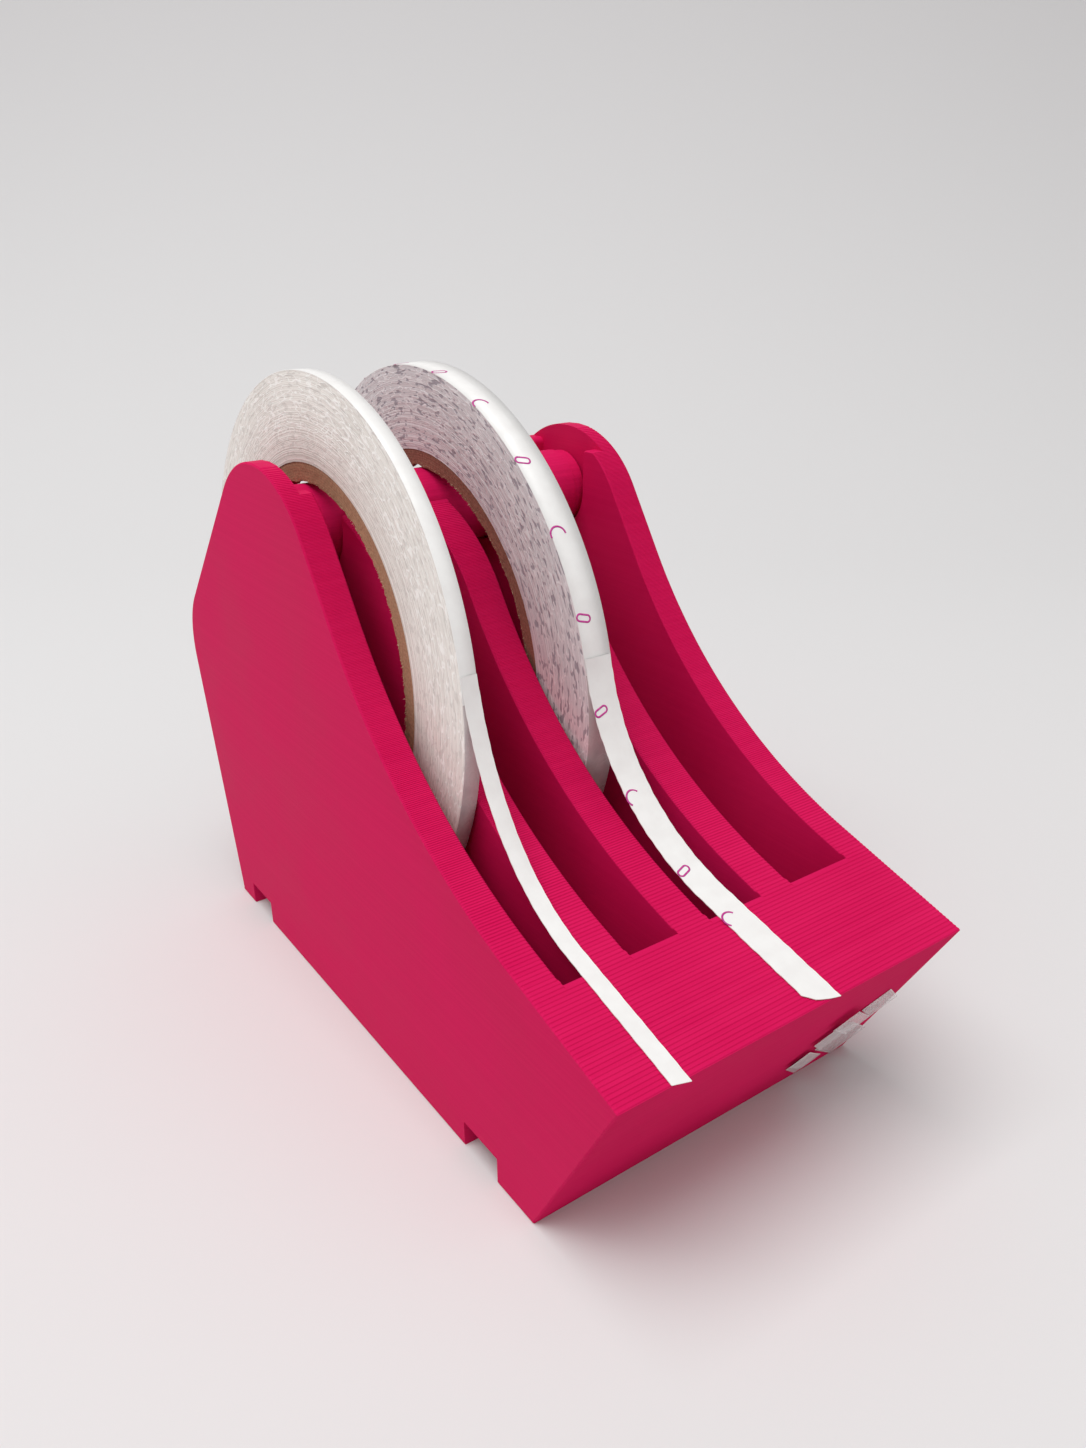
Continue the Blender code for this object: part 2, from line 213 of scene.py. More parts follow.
def object_axes(tree: Tree) -> Tuple[Socket, bpy.types.Node]:
    """Adds object coordinates and returns them whole, and split into X, Y and Z."""
    coordinates = add_node(tree, "ShaderNodeTexCoord").outputs["Object"]
    return coordinates, add_node(tree, "ShaderNodeSeparateXYZ", {0: coordinates})


def polar(tree: Tree, axes: bpy.types.Node, centre: Point) -> Tuple[Socket, Socket, Socket]:
    """Returns y and z from a roll's centre, in metres, and the radius."""
    y = math_node(tree, "SUBTRACT", axes.outputs["Y"], centre[0] * MM)
    z = math_node(tree, "SUBTRACT", axes.outputs["Z"], centre[1] * MM)
    squares = math_node(
        tree, "ADD", math_node(tree, "MULTIPLY", y, y), math_node(tree, "MULTIPLY", z, z)
    )
    return y, z, math_node(tree, "SQRT", squares)


# ------------------------------------------------------------------------------ finishes


@dataclass(frozen=True)
class FusedPla:
    """Crimson PLA, laid down in threads by a hot nozzle.

    The thread gives the eye a satin sheen that breaks into fine parallel lines, with the layers
    a little lighter or darker by turns and the flat sides almost plain.
    """

    name: str = "pla_fused_filament_crimson"
    body: str = "#C91051"
    pale: str = "#D61C5C"
    relief: float = 0.014
    roughness: float = 0.58
    sheen: float = 0.05
    wander: float = 0.35
    grain: float = 0.35

    def make(self) -> bpy.types.Material:
        """Builds the material."""
        material, surface = new_surface(self.name, self.roughness)
        tree = material.node_tree
        where, axes = object_axes(tree)
        wander = math_node(tree, "MULTIPLY", noise(tree, where, 90.0), self.wander * LAYER * MM)
        height = math_node(tree, "ADD", axes.outputs["Z"], wander)
        phase = math_node(tree, "DIVIDE", height, LAYER * MM)
        shade = white_noise(tree, math_node(tree, "FLOOR", phase))
        cloud = spread(tree, noise(tree, where, 42.0, 3.0), 0.35, 0.68)
        patches = math_node(tree, "MULTIPLY", cloud, 0.4)
        tone = math_node(tree, "MULTIPLY_ADD", shade, 0.3, patches)
        colour = mix_colours(tree, tone, self.body, self.pale)
        wave = math_node(tree, "SINE", math_node(tree, "MULTIPLY", phase, math.pi))
        grain = math_node(tree, "MULTIPLY", noise(tree, where, 2600.0), self.grain)
        relief = math_node(tree, "ADD", math_node(tree, "ABSOLUTE", wave), grain)
        rough = math_node(tree, "MULTIPLY_ADD", cloud, 0.1, self.roughness - 0.05)
        add_bump(tree, surface, relief, self.relief, 0.8)
        surface.inputs["Specular IOR Level"].default_value = self.sheen
        tree.links.new(colour, surface.inputs["Base Color"])
        tree.links.new(rough, surface.inputs["Roughness"])
        return material


@dataclass(frozen=True)
class WoundEdge:
    """The cut edges of a tape wound on itself, seen from the side.

    Hundreds of edges give the eye fine rings near the core, broken by short worm-like marks, and
    on the second roll dark dashes where adhesive has crept out between the turns.
    """

    name: str
    core: float
    light: str
    dark: str
    worm_colour: str
    dash_colour: str
    worms: float
    dashes: float
    pitch: float = 0.3
    wiggle: float = 0.5
    ringed: float = 13.0
    worm_size: Point = (4.0, 1.4)
    dash_size: Point = (2.2, 0.75)
    mean_radius: float = 50.0

    def strokes(self, tree: Tree, around: Point, radius: Any, size: Point, shift: float) -> Socket:
        """Noise drawn out along the turns.

        Args:
            tree: The material's tree.
            around: Sockets of the place round the roll, as y and z over the radius.
            radius: Radius in metres.
            size: Length and width of a stroke in millimetres.
            shift: Moves the pattern, so that two are not alike.

        Returns:
            The noise value.
        """
        long, thin = size
        place = {
            0: math_node(tree, "MULTIPLY", around[0], self.mean_radius / long),
            1: math_node(tree, "MULTIPLY", around[1], self.mean_radius / long),
            2: math_node(tree, "MULTIPLY_ADD", radius, 1.0 / (thin * MM), shift),
        }
        where = add_node(tree, "ShaderNodeCombineXYZ", place).outputs[0]
        return noise(tree, where, 1.0, 1.0)

    def make(self, centre: Point) -> bpy.types.Material:
        """Builds the material for a roll with its centre at (y, z)."""
        material, surface = new_surface(self.name, 0.6)
        surface.inputs["Specular IOR Level"].default_value = 0.25
        tree = material.node_tree
        where, axes = object_axes(tree)
        y, z, radius = polar(tree, axes, centre)
        around = (math_node(tree, "DIVIDE", y, radius), math_node(tree, "DIVIDE", z, radius))
        bend = math_node(tree, "SUBTRACT", noise(tree, where, 160.0), 0.5)
        wandered = math_node(tree, "MULTIPLY_ADD", bend, self.wiggle * MM, radius)
        turn = math_node(tree, "DIVIDE", wandered, self.pitch * MM)
        wound = {"W": turn, "Scale": 1.0, "Detail": 3.0}
        fine = add_node(tree, "ShaderNodeTexNoise", wound, noise_dimensions="1D").outputs[0]
        near_core = spread(tree, radius, (self.core + self.ringed) * MM, self.core * MM)
        lines = spread(tree, fine, 0.56, 0.42)
        ringing = math_node(tree, "MULTIPLY_ADD", near_core, 0.6, 0.4)
        cloud = spread(tree, noise(tree, where, 70.0), 0.3, 0.7)
        rings = math_node(tree, "MULTIPLY", lines, ringing)
        tone = math_node(tree, "MULTIPLY_ADD", cloud, 0.25, rings)
        colour = mix_colours(tree, tone, self.light, self.dark)
        drawn = self.strokes(tree, around, radius, self.worm_size, 3.0)
        band = math_node(tree, "ABSOLUTE", math_node(tree, "SUBTRACT", drawn, 0.5))
        worm = math_node(tree, "MULTIPLY", spread(tree, band, 0.04, 0.015), self.worms)
        worm = math_node(tree, "MULTIPLY", worm, spread(tree, near_core, 0.9, 0.3))
        colour = mix_colours(tree, worm, colour, self.worm_colour)
        flecks = self.strokes(tree, around, wandered, self.dash_size, 31.0)
        dash = math_node(tree, "MULTIPLY", spread(tree, flecks, 0.58, 0.64), self.dashes)
        colour = mix_colours(tree, dash, colour, self.dash_colour)
        grooves = math_node(tree, "MULTIPLY", lines, -0.4)
        raised = math_node(tree, "MULTIPLY_ADD", worm, 0.8, grooves)
        add_bump(tree, surface, math_node(tree, "MULTIPLY_ADD", dash, -0.8, raised), 0.06, 0.9)
        tree.links.new(colour, surface.inputs["Base Color"])
        return material


@dataclass(frozen=True)
class ReleaseLiner:
    """Silicone-coated glassine, calendered smooth.

    It gives the eye a clean white with a soft sheen, and a slight mottle where the tape under it
    sticks well.
    """

    name: str = "release_liner_glassine_calendered"
    white: str = "#EBEAE8"
    shaded: str = "#E5E3E1"
    roughness: float = 0.4

    def make(self) -> bpy.types.Material:
        """Builds the material."""
        material, surface = new_surface(self.name, self.roughness)
        tree = material.node_tree
        where, _ = object_axes(tree)
        mottle = spread(tree, noise(tree, where, 260.0, 3.0), 0.35, 0.7)
        colour = mix_colours(tree, mottle, self.white, self.shaded)
        rough = math_node(tree, "MULTIPLY_ADD", mottle, 0.14, self.roughness - 0.06)
        add_bump(tree, surface, noise(tree, where, 5200.0), 0.006, 0.5)
        tree.links.new(colour, surface.inputs["Base Color"])
        tree.links.new(rough, surface.inputs["Roughness"])
        return material


@dataclass(frozen=True)
class CoreBoard:
    """Brown board, spirally wound and glued, cut with a knife.

    It gives the eye a dull fibrous brown, with thin darker ply lines round the cut face.
    """

    name: str
    light: str
    dark: str
    ply: float = 0.55
    wander: float = 0.5

    def make(self, centre: Point) -> bpy.types.Material:
        """Builds the material for a core with its centre at (y, z)."""
        material, surface = new_surface(self.name, 0.92)
        tree = material.node_tree
        where, axes = object_axes(tree)
        radius = polar(tree, axes, centre)[2]
        wander = math_node(tree, "MULTIPLY", noise(tree, where, 700.0, 3.0), self.wander * MM)
        plies = math_node(tree, "DIVIDE", math_node(tree, "ADD", radius, wander), self.ply * MM)
        wave = math_node(tree, "SINE", math_node(tree, "MULTIPLY", plies, 2.0 * math.pi))
        fibres = noise(tree, where, 1900.0, 4.0)
        fibrous = math_node(tree, "MULTIPLY", spread(tree, fibres, 0.3, 0.7), 0.7)
        tone = math_node(tree, "MULTIPLY_ADD", spread(tree, wave, 0.2, 1.0), 0.3, fibrous)
        colour = mix_colours(tree, tone, self.dark, self.light)
        add_bump(tree, surface, fibres, 0.12, 0.9)
        tree.links.new(colour, surface.inputs["Base Color"])
        return material


@dataclass(frozen=True)
class ClearAdhesiveTape:
    """Acetate tape, cast clear and coated with adhesive.

    It gives the eye a cloudy see-through grey with small trapped bubbles and a bright skin, with a
    painted highlight along its rim.
    """

    name: str = "acetate_tape_cast_clear"
    film: str = "#F6F0F1"
    opacity: float = 0.4
    bubbles: float = 0.12
    rim_highlight: float = 0.22

    def make(self) -> bpy.types.Material:
        """Builds the material."""
        material, surface = new_surface(self.name, 0.2)
        tree = material.node_tree
        where, _ = object_axes(tree)
        bubbles = spread(tree, noise(tree, where, 900.0, 3.0), 0.5, 0.66)
        rim = add_node(tree, "ShaderNodeAttribute", attribute_name="rim").outputs["Fac"]
        cloud = math_node(tree, "MULTIPLY_ADD", bubbles, self.bubbles, self.opacity)
        # Painted highlight: the outline is made more opaque, so it shows whiter
        alpha = math_node(tree, "MULTIPLY_ADD", rim, self.rim_highlight, cloud)
        tree.links.new(alpha, surface.inputs["Alpha"])
        surface.inputs["Base Color"].default_value = linear(self.film)
        return material


@dataclass(frozen=True)
class FlexoInk:
    """Magenta ink, printed by a soft plate: flat and slightly uneven."""

    name: str = "flexo_ink_magenta"
    ink: str = "#B81F86"
    thin: str = "#C94A9A"

    def make(self) -> bpy.types.Material:
        """Builds the material."""
        material, surface = new_surface(self.name, 0.5)
        tree = material.node_tree
        where, _ = object_axes(tree)
        patch = spread(tree, noise(tree, where, 1500.0), 0.4, 0.7)
        tree.links.new(mix_colours(tree, patch, self.ink, self.thin), surface.inputs["Base Color"])
        return material


@dataclass(frozen=True)
class PaleSweep:
    """A matt painted studio sweep, its colour darker towards its upper part as painted shade."""

    name: str = "studio_sweep_matt_paint"
    low: str = "#DAD9D9"
    # Colour at the top, darker as painted shade
    high: str = "#BBB8B9"
    rise: float = 0.8

    def make(self) -> bpy.types.Material:
        """Builds the material."""
        material, surface = new_surface(self.name, 0.9)
        surface.inputs["Specular IOR Level"].default_value = 0.1
        tree = material.node_tree
        _, axes = object_axes(tree)
        # Painted shade: the colour darkens with height, standing in for the wall's weaker light
        rise = spread(tree, axes.outputs["Z"], 0.0, self.rise)
        tree.links.new(mix_colours(tree, rise, self.low, self.high), surface.inputs["Base Color"])
        return material


# ------------------------------------------------------------------------------ mesh helpers


def make_mesh(
    name: str, points: Any, faces: Sequence[Sequence[int]], smooth: bool = False
) -> Piece:
    """Makes an object at the origin from points in millimetres.

    Args:
        name: The piece's name.
        points: One row of three numbers for each point, in millimetres.
        faces: Point numbers of each face, counter-clockwise from outside.
        smooth: Whether the faces shade smoothly.

    Returns:
        The object, linked to the scene.
    """
    mesh = bpy.data.meshes.new(name)
    mesh.from_pydata((np.asarray(points, float) * MM).tolist(), [], [list(f) for f in faces])
    mesh.polygons.foreach_set("use_smooth", [smooth] * len(mesh.polygons))
    mesh.validate()
    piece = bpy.data.objects.new(name, mesh)
    bpy.context.scene.collection.objects.link(piece)
    return piece


def grid_faces(
    rows: int, columns: int, closed: bool = False, start: int = 0
) -> List[Tuple[int, ...]]:
    """Faces of a grid whose points run column by column within each row.

    Args:
        rows: Number of rows.
        columns: Number of columns.
        closed: Whether the last row joins the first.
        start: Number of the first point.

    Returns:
        Four point numbers for each face.
    """
    faces = []
    for row in range(rows if closed else rows - 1):
        after = (row + 1) % rows
        for column in range(columns - 1):
            a, b = start + row * columns + column, start + after * columns + column
            faces.append((a, a + 1, b + 1, b))
    return faces


def grid_rim(rows: int, columns: int) -> List[int]:
    """Point numbers round the outside of a grid, in one turn."""
    rim = [row * columns for row in range(rows)]
    rim += [(rows - 1) * columns + column for column in range(1, columns)]
    rim += [row * columns + columns - 1 for row in range(rows - 2, -1, -1)]
    return rim + list(range(columns - 2, 0, -1))


def sheet_faces(rows: int, columns: int) -> List[Tuple[int, ...]]:
    """Faces of a thin closed sheet whose second layer's points follow the first layer's."""
    count = rows * columns
    faces = [face[::-1] for face in grid_faces(rows, columns)]
    faces += grid_faces(rows, columns, start=count)
    rim = grid_rim(rows, columns)
    for a, b in zip(rim, rim[1:] + rim[:1]):
        faces.append((a, b, b + count, a + count))
    return faces


def fix_normals(piece: Piece) -> None:
    """Makes a closed piece's faces point outwards."""
    mesh = bmesh.new()
    mesh.from_mesh(piece.data)
    bmesh.ops.recalc_face_normals(mesh, faces=mesh.faces)
    mesh.to_mesh(piece.data)
    mesh.free()


def finish_piece(piece: Piece, body: Body, replaces: Sequence[str] = ()) -> Piece:
    """Rides a piece on its body and hides the CAD nodes that it stands for."""
    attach(piece, body.value)
    if replaces:
        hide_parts(*replaces)
    LOG.info("%s: %d faces on %s", piece.name, len(piece.data.polygons), body.value)
    return piece


def bake_nodes(piece: Piece, tree: Tree, values: Dict[str, Any]) -> Piece:
    """Runs a geometry tree on a piece and keeps the result as its plain mesh.

    Args:
        piece: The object whose mesh goes in.
        tree: The geometry tree.
        values: The tree's input values, by name.

    Returns:
        The same object with its new mesh.
    """
    modifier = piece.modifiers.new(tree.name, "NODES")
    modifier.node_group = tree
    for item in tree.interface.items_tree:
        if item.item_type == "SOCKET" and item.in_out == "INPUT" and item.name in values:
            modifier[item.identifier] = values[item.name]
    bpy.context.view_layer.update()
    evaluated = piece.evaluated_get(bpy.context.evaluated_depsgraph_get())
    mesh = bpy.data.meshes.new_from_object(evaluated)
    mesh.name = piece.name
    piece.modifiers.remove(modifier)
    old, piece.data = piece.data, mesh
    bpy.data.meshes.remove(old)
    return piece


def new_geometry_tree(
    name: str, sizes: Dict[str, Tuple[str, Any]]
) -> Tuple[Tree, bpy.types.Node]:
    """Makes a geometry tree with a Geometry input and output, named sizes and a material.

    Args:
        name: The tree's name.
        sizes: Input name to its socket type and default value.

    Returns:
        The tree and its Group Input node.
    """
    tree = bpy.data.node_groups.new(name, "GeometryNodeTree")
    tree.interface.new_socket("Geometry", in_out="INPUT", socket_type="NodeSocketGeometry")
    tree.interface.new_socket("Geometry", in_out="OUTPUT", socket_type="NodeSocketGeometry")
    for label, (kind, value) in {**sizes, "Material": ("Material", None)}.items():
        socket = tree.interface.new_socket(label, in_out="INPUT", socket_type="NodeSocket" + kind)
        if value is not None:
            socket.default_value = value
    return tree, tree.nodes.new("NodeGroupInput")


def named_attribute(tree: Tree, name: str, kind: str) -> Socket:
    """Reads an attribute of the piece and returns its output."""
    kinds = {"data_type": kind}
    return add_node(tree, "GeometryNodeInputNamedAttribute", {"Name": name}, **kinds).outputs[0]


def close_tree(tree: Tree, given: bpy.types.Node, geometry: Socket) -> Tree:
    """Ends a geometry tree with Realize Instances and Set Material."""
    realized = add_node(tree, "GeometryNodeRealizeInstances", {0: geometry}).outputs[0]
    inputs = {"Geometry": realized, "Material": given.outputs["Material"]}
    shown = add_node(tree, "GeometryNodeSetMaterial", inputs).outputs[0]
    tree.links.new(shown, tree.nodes.new("NodeGroupOutput").inputs[0])
    return tree


# ------------------------------------------------------------------------------ the printed stand


def arc(centre: Point, radius: float, start: float, end: float, step: float = 0.01) -> np.ndarray:
    """Points on an arc, both ends included.

    Args:
        centre: The arc's centre.
        radius: Its radius.
        start: First angle in radians.
        end: Last angle in radians.
        step: Largest angle between points.

    Returns:
        An array of points.
    """
    count = max(2, int(abs(end - start) / step) + 1)
    angles = np.linspace(start, end, count)
    return np.array(centre) + radius * np.stack([np.cos(angles), np.sin(angles)], axis=1)


def crossing(
    point_a: np.ndarray, way_a: np.ndarray, point_b: np.ndarray, way_b: np.ndarray
) -> np.ndarray:
    """Where two lines in the profile plane meet."""
    along = np.linalg.solve(np.stack([way_a, -way_b], axis=1), point_b - point_a)
    return point_a + way_a * along[0]


def fillet(before: np.ndarray, corner: np.ndarray, after: np.ndarray, radius: float) -> np.ndarray:
    """Arc that rounds a corner between two straights."""
    to_before = (before - corner) / np.linalg.norm(before - corner)
    to_after = (after - corner) / np.linalg.norm(after - corner)
    half = math.acos(float(to_before @ to_after)) / 2.0
    middle = (to_before + to_after) / np.linalg.norm(to_before + to_after)
    centre = corner + middle * (radius / math.sin(half))
    first = corner + to_before * (radius / math.tan(half)) - centre
    last = corner + to_after * (radius / math.tan(half)) - centre
    start = math.atan2(first[1], first[0])
    turn = math.atan2(first[0] * last[1] - first[1] * last[0], float(first @ last))
    return arc((centre[0], centre[1]), radius, start, start + turn)


@dataclass
class PrintedStand:
    """The one-piece print: two walls, three dividers, four slots, the ramp and the base."""

    slot_widths: Tuple[float, ...] = (7.7, 11.4, 13.5, 16.2)
    dividers: Tuple[float, ...] = (6.9, 7.7, 8.0)
    plate: float = 4.0
    cradle_layer: float = 2.8
    depth: float = STAND_DEPTH
    lip: Point = (-LIP_OVERHANG, LIP_HEIGHT)
    swoop_radius: float = 113.0
    brow_angle: float = math.radians(56.2)
    head_radius: float = 25.7
    axis: Point = (AXIS_SETBACK, AXIS_HEIGHT)
    head_below_axis: float = 11.1
    shoulder_angle: float = math.radians(46.5)
    back_lean: float = math.radians(12.1)
    bulge_radius: float = 20.0
    slot_floor: float = 12.0
    slot_round: float = 64.6
    cradle_radius: float = 10.0
    cradle_floor: float = 9.3
    horn_top: float = 120.0
    horn_round: float = 1.5
    crown_start: float = 98.6
    crown_rise: float = 16.0
    groove_width: float = 12.0
    groove_depth: float = 5.8
    groove_starts: Tuple[float, float] = (12.0, 121.0)
    thread_dip: float = 0.07
    thread_shares: Tuple[float, float, float] = (0.0, 0.25, 0.8)
    step_share: float = 0.75
    corner: float = 0.32
    crown_round: float = 0.6
    corner_fade: float = 0.4
    back_corner_from: float = 35.0
    smoothing: int = 5
    front_path: np.ndarray = field(init=False)
    back_path: np.ndarray = field(init=False)

    def __post_init__(self) -> None:
        """Works out the smooth front and back of a side wall, each from the base up to the top."""
        lip = np.array(self.lip)
        ramp = np.array([math.cos(RAMP_ANGLE), math.sin(RAMP_ANGLE)])
        brow = np.array([math.cos(self.brow_angle), math.sin(self.brow_angle)])
        centre = np.array([self.axis[0], self.axis[1] - self.head_below_axis])
        brow_touch = centre + self.head_radius * np.array([-brow[1], brow[0]])
        shoulder = np.array([math.cos(self.shoulder_angle), -math.sin(self.shoulder_angle)])
        shoulder_touch = centre + self.head_radius * np.array([-shoulder[1], shoulder[0]])
        corner = crossing(lip, ramp, brow_touch, brow)
        swoop = fillet(lip, corner, brow_touch, self.swoop_radius)
        place = (float(centre[0]), float(centre[1]))
        front_head = arc(place, self.head_radius, math.pi / 2 + self.brow_angle, math.pi / 2)
        back_head = arc(place, self.head_radius, math.pi / 2 - self.shoulder_angle, math.pi / 2)
        heel = np.array([self.depth, 0.0])
        back = np.array([math.sin(self.back_lean), math.cos(self.back_lean)])
        bulge = crossing(heel, back, shoulder_touch, shoulder)
        rounded = fillet(heel, bulge, shoulder_touch, self.bulge_radius)
        self.front_path = np.vstack([[[0.0, 0.0]], [lip], swoop, front_head])
        self.back_path = np.vstack([[heel], rounded, back_head])

    def front_at(self, height: Any, crowned: bool) -> Any:
        """Front of the profile at a height, following the low crown where the slab is a divider."""
        plain = np.interp(height, self.front_path[:, 1], self.front_path[:, 0])
        return np.where(crowned & (height > self.crown_start), self.crown_at(height, -1.0), plain)

    def back_at(self, height: Any, crowned: bool) -> Any:
        """Back of the profile at a height."""
        plain = np.interp(height, self.back_path[:, 1], self.back_path[:, 0])
        return np.where(crowned & (height > self.crown_start), self.crown_at(height, 1.0), plain)

    def crown_at(self, height: Any, side: float) -> Any:
        """Where a divider's crown is at a height, in front (-1) or behind (+1) the spindle."""
        path = self.front_path if side < 0 else self.back_path
        edge = float(np.interp(self.crown_start, path[:, 1], path[:, 0]))
        span = abs(edge - self.axis[0])
        radius = (span**2 + self.crown_rise**2) / (2.0 * self.crown_rise)
        rise = np.clip(height - (self.crown_start + self.crown_rise - radius), -radius, radius)
        return self.axis[0] + side * np.sqrt(radius**2 - rise**2)

    def threads(
        self, low: float, high: float, line: Callable[[Any], Any], inward: float
    ) -> np.ndarray:
        """Points of the stacked threads along one side of the profile, from low to high.

        Args:
            low: Height where the stack starts.
            high: Height where it ends.
            line: The smooth profile, from height to place.
            inward: +1 where the inside is at larger y, -1 where it is at smaller y.

        Returns:
            Three points for each layer.
        """
        first = int(round(low / LAYER))
        bottoms = np.arange(first, int(high / LAYER)) * LAYER
        bottoms = np.maximum(bottoms, low)
        face = line(np.minimum(bottoms + LAYER / 2.0, high))
        points = np.empty((len(bottoms), 3, 2))
        for index, share in enumerate(self.thread_shares):
            smooth = line(np.minimum(bottoms + share * LAYER, high))
            dip = inward * self.thread_dip if index == 0 else 0.0
            points[:, index, 0] = face * self.step_share + smooth * (1.0 - self.step_share) + dip
            points[:, index, 1] = bottoms + share * LAYER
        return points.reshape(-1, 2)

    def cradle_rim(self, top: float, horn: float) -> Tuple[np.ndarray, np.ndarray]:
        """The open cradle from its front horn to its rear horn, with the way into the material."""
        y, z = self.axis
        bottom = z - self.cradle_floor + self.cradle_radius
        left, right = y - self.cradle_radius, y + self.cradle_radius
        rim, inward = [], []
        for centre, radius, start, end, step, sign in (
            ((left - horn, top - horn), horn, math.pi / 2, 0.0, 0.2, -1.0),
            ((y, bottom), self.cradle_radius, math.pi, 2 * math.pi, 0.05, 1.0),
            ((right + horn, top - horn), horn, math.pi, math.pi / 2, 0.2, -1.0),
        ):
            part = arc(centre, radius, start, end, step)
            rim.append(part)
            inward.append(sign * (part - np.array(centre)) / radius)
        return np.vstack(rim), np.vstack(inward)

    def underside(self) -> np.ndarray:
        """The underside from the heel to the toe, with its two grooves."""
        points, high = [], self.groove_depth
        for start in reversed(self.groove_starts):
            end = start + self.groove_width
            points += [(end, 0.0), (end, high), (start, high), (start, 0.0)]
        return np.array(points)

    def slab_outline(self, kind: str) -> Tuple[np.ndarray, np.ndarray, np.ndarray]:
        """Outline of one slab of the print, clockwise from the toe.

        Args:
            kind: plate, cradle, divider or floor.

        Returns:
            The points, for each whether its corner is free to be rounded towards a slot, and for
            each the way into the material.
        """
        ways = None
        crowned = kind == "divider"
        slot_front = float(np.interp(0.0, self.front_path[1:, 0], self.front_path[1:, 1]))
        if kind == "floor":
            middle = (self.axis[0], self.slot_floor + self.slot_round)
            turn = arc(middle, self.slot_round, -math.pi / 2, -0.2, 0.02)
            back = np.interp(turn[:, 1], self.back_path[:, 1], self.back_path[:, 0])
            turn = turn[turn[:, 0] < back]
            top = np.vstack([[[0.0, slot_front], [0.0, self.slot_floor]], turn])
            front_top, back_top = slot_front, turn[-1, 1]
        elif kind == "plate":
            peak = self.axis[1] - self.head_below_axis + self.head_radius
            top = np.array([[self.axis[0], peak]])
            front_top = back_top = peak - 0.1
        elif kind == "cradle":
            top, ways = self.cradle_rim(self.horn_top, self.horn_round)
            front_top = back_top = self.horn_top
        else:
            heights = np.linspace(self.crown_start + 1.0, self.crown_start + self.crown_rise, 400)
            reach = -self.cradle_radius - self.crown_round
            front_reach = self.axis[0] - self.crown_at(heights, -1.0)
            back_reach = self.crown_at(heights, 1.0) - self.axis[0]
            front_top = float(np.interp(reach, -front_reach, heights))
            back_top = float(np.interp(reach, -back_reach, heights))
            top, ways = self.cradle_rim(front_top + self.corner_fade, self.crown_round)
        front = self.threads(0.0, front_top, lambda z: self.front_at(z, crowned), 1.0)
        back = self.threads(0.0, back_top, lambda z: self.back_at(z, crowned), -1.0)[::-1]
        points = np.vstack([front, top, back, self.underside()])
        first, last = len(front), len(front) + len(top)
        free = np.zeros(len(points), bool)
        free[:first] = front[:, 1] > slot_front + self.corner_fade
        free[first:last] = True
        free[last : last + len(back)] = back[:, 1] > self.back_corner_from
        width = self.smoothing
        along = np.roll(points, -width, axis=0) - np.roll(points, width, axis=0)
        along /= np.maximum(np.linalg.norm(along, axis=1, keepdims=True), 1e-9)
        inward = np.stack([along[:, 1], -along[:, 0]], axis=1)
        if ways is not None:
            inward[first:last] = ways
            inward[first - width : first] = inward[first - width - 1]
            inward[last : last + width] = inward[last + width]
        return points, free, inward

    def cap(self, outline: np.ndarray, start: int) -> List[Tuple[int, ...]]:
        """Triangles that close an outline, facing the lower x side."""
        count = len(outline)
        corners = [Vector((float(y), float(z))) for y, z in outline]
        edges = [(i, (i + 1) % count) for i in range(count)]
        found = delaunay_2d_cdt(corners, edges, [], 1, 1e-5)
        owner = [group[0] if group else None for group in found[3]]
        faces = []
        for a, b, c in found[2]:
            if None in (owner[a], owner[b], owner[c]):
                continue
            face = (start + owner[a], start + owner[b], start + owner[c])
            first = corners[owner[b]] - corners[owner[a]]
            second = corners[owner[c]] - corners[owner[a]]
            turns_left = first.x * second.y - first.y * second.x > 0.0
            faces.append(face[::-1] if turns_left else face)
        return faces

    def slab(
        self, kind: str, low: float, high: float, edge: Edge, outer: Edge
    ) -> Tuple[np.ndarray, List[Any]]:
        """One slab between two planes across the width.

        Args:
            kind: plate, cradle, divider or floor.
            low: Lower x.
            high: Higher x.
            edge: Sides whose corners are rounded where they are free.
            outer: Sides whose corners are rounded all round.

        Returns:
            Points and faces.
        """
        points, free, inward = self.slab_outline(kind)
        stations = []
        for x, side, step in ((low, Edge.LEFT, 1.0), (high, Edge.RIGHT, -1.0)):
            weight = np.zeros(len(points))
            if edge in (side, Edge.BOTH):
                weight = free.astype(float)
            if outer in (side, Edge.BOTH):
                weight = np.ones(len(points))
            pair = [(x, points + inward * (self.corner * weight)[:, None])]
            if weight.any():
                pair.append((x + step * self.corner, points))
            stations += pair if side is Edge.LEFT else pair[::-1]
        rows = [np.column_stack([np.full(len(p), x), p]) for x, p in stations]
        count = len(points)
        faces: List[Any] = []
        for row in range(len(rows) - 1):
            for i in range(count):
                j = (i + 1) % count
                a, b = row * count, (row + 1) * count
                faces.append((a + j, a + i, b + i, b + j))
        faces += self.cap(stations[0][1], 0)
        faces += [face[::-1] for face in self.cap(stations[-1][1], (len(rows) - 1) * count)]
        return np.vstack(rows), faces

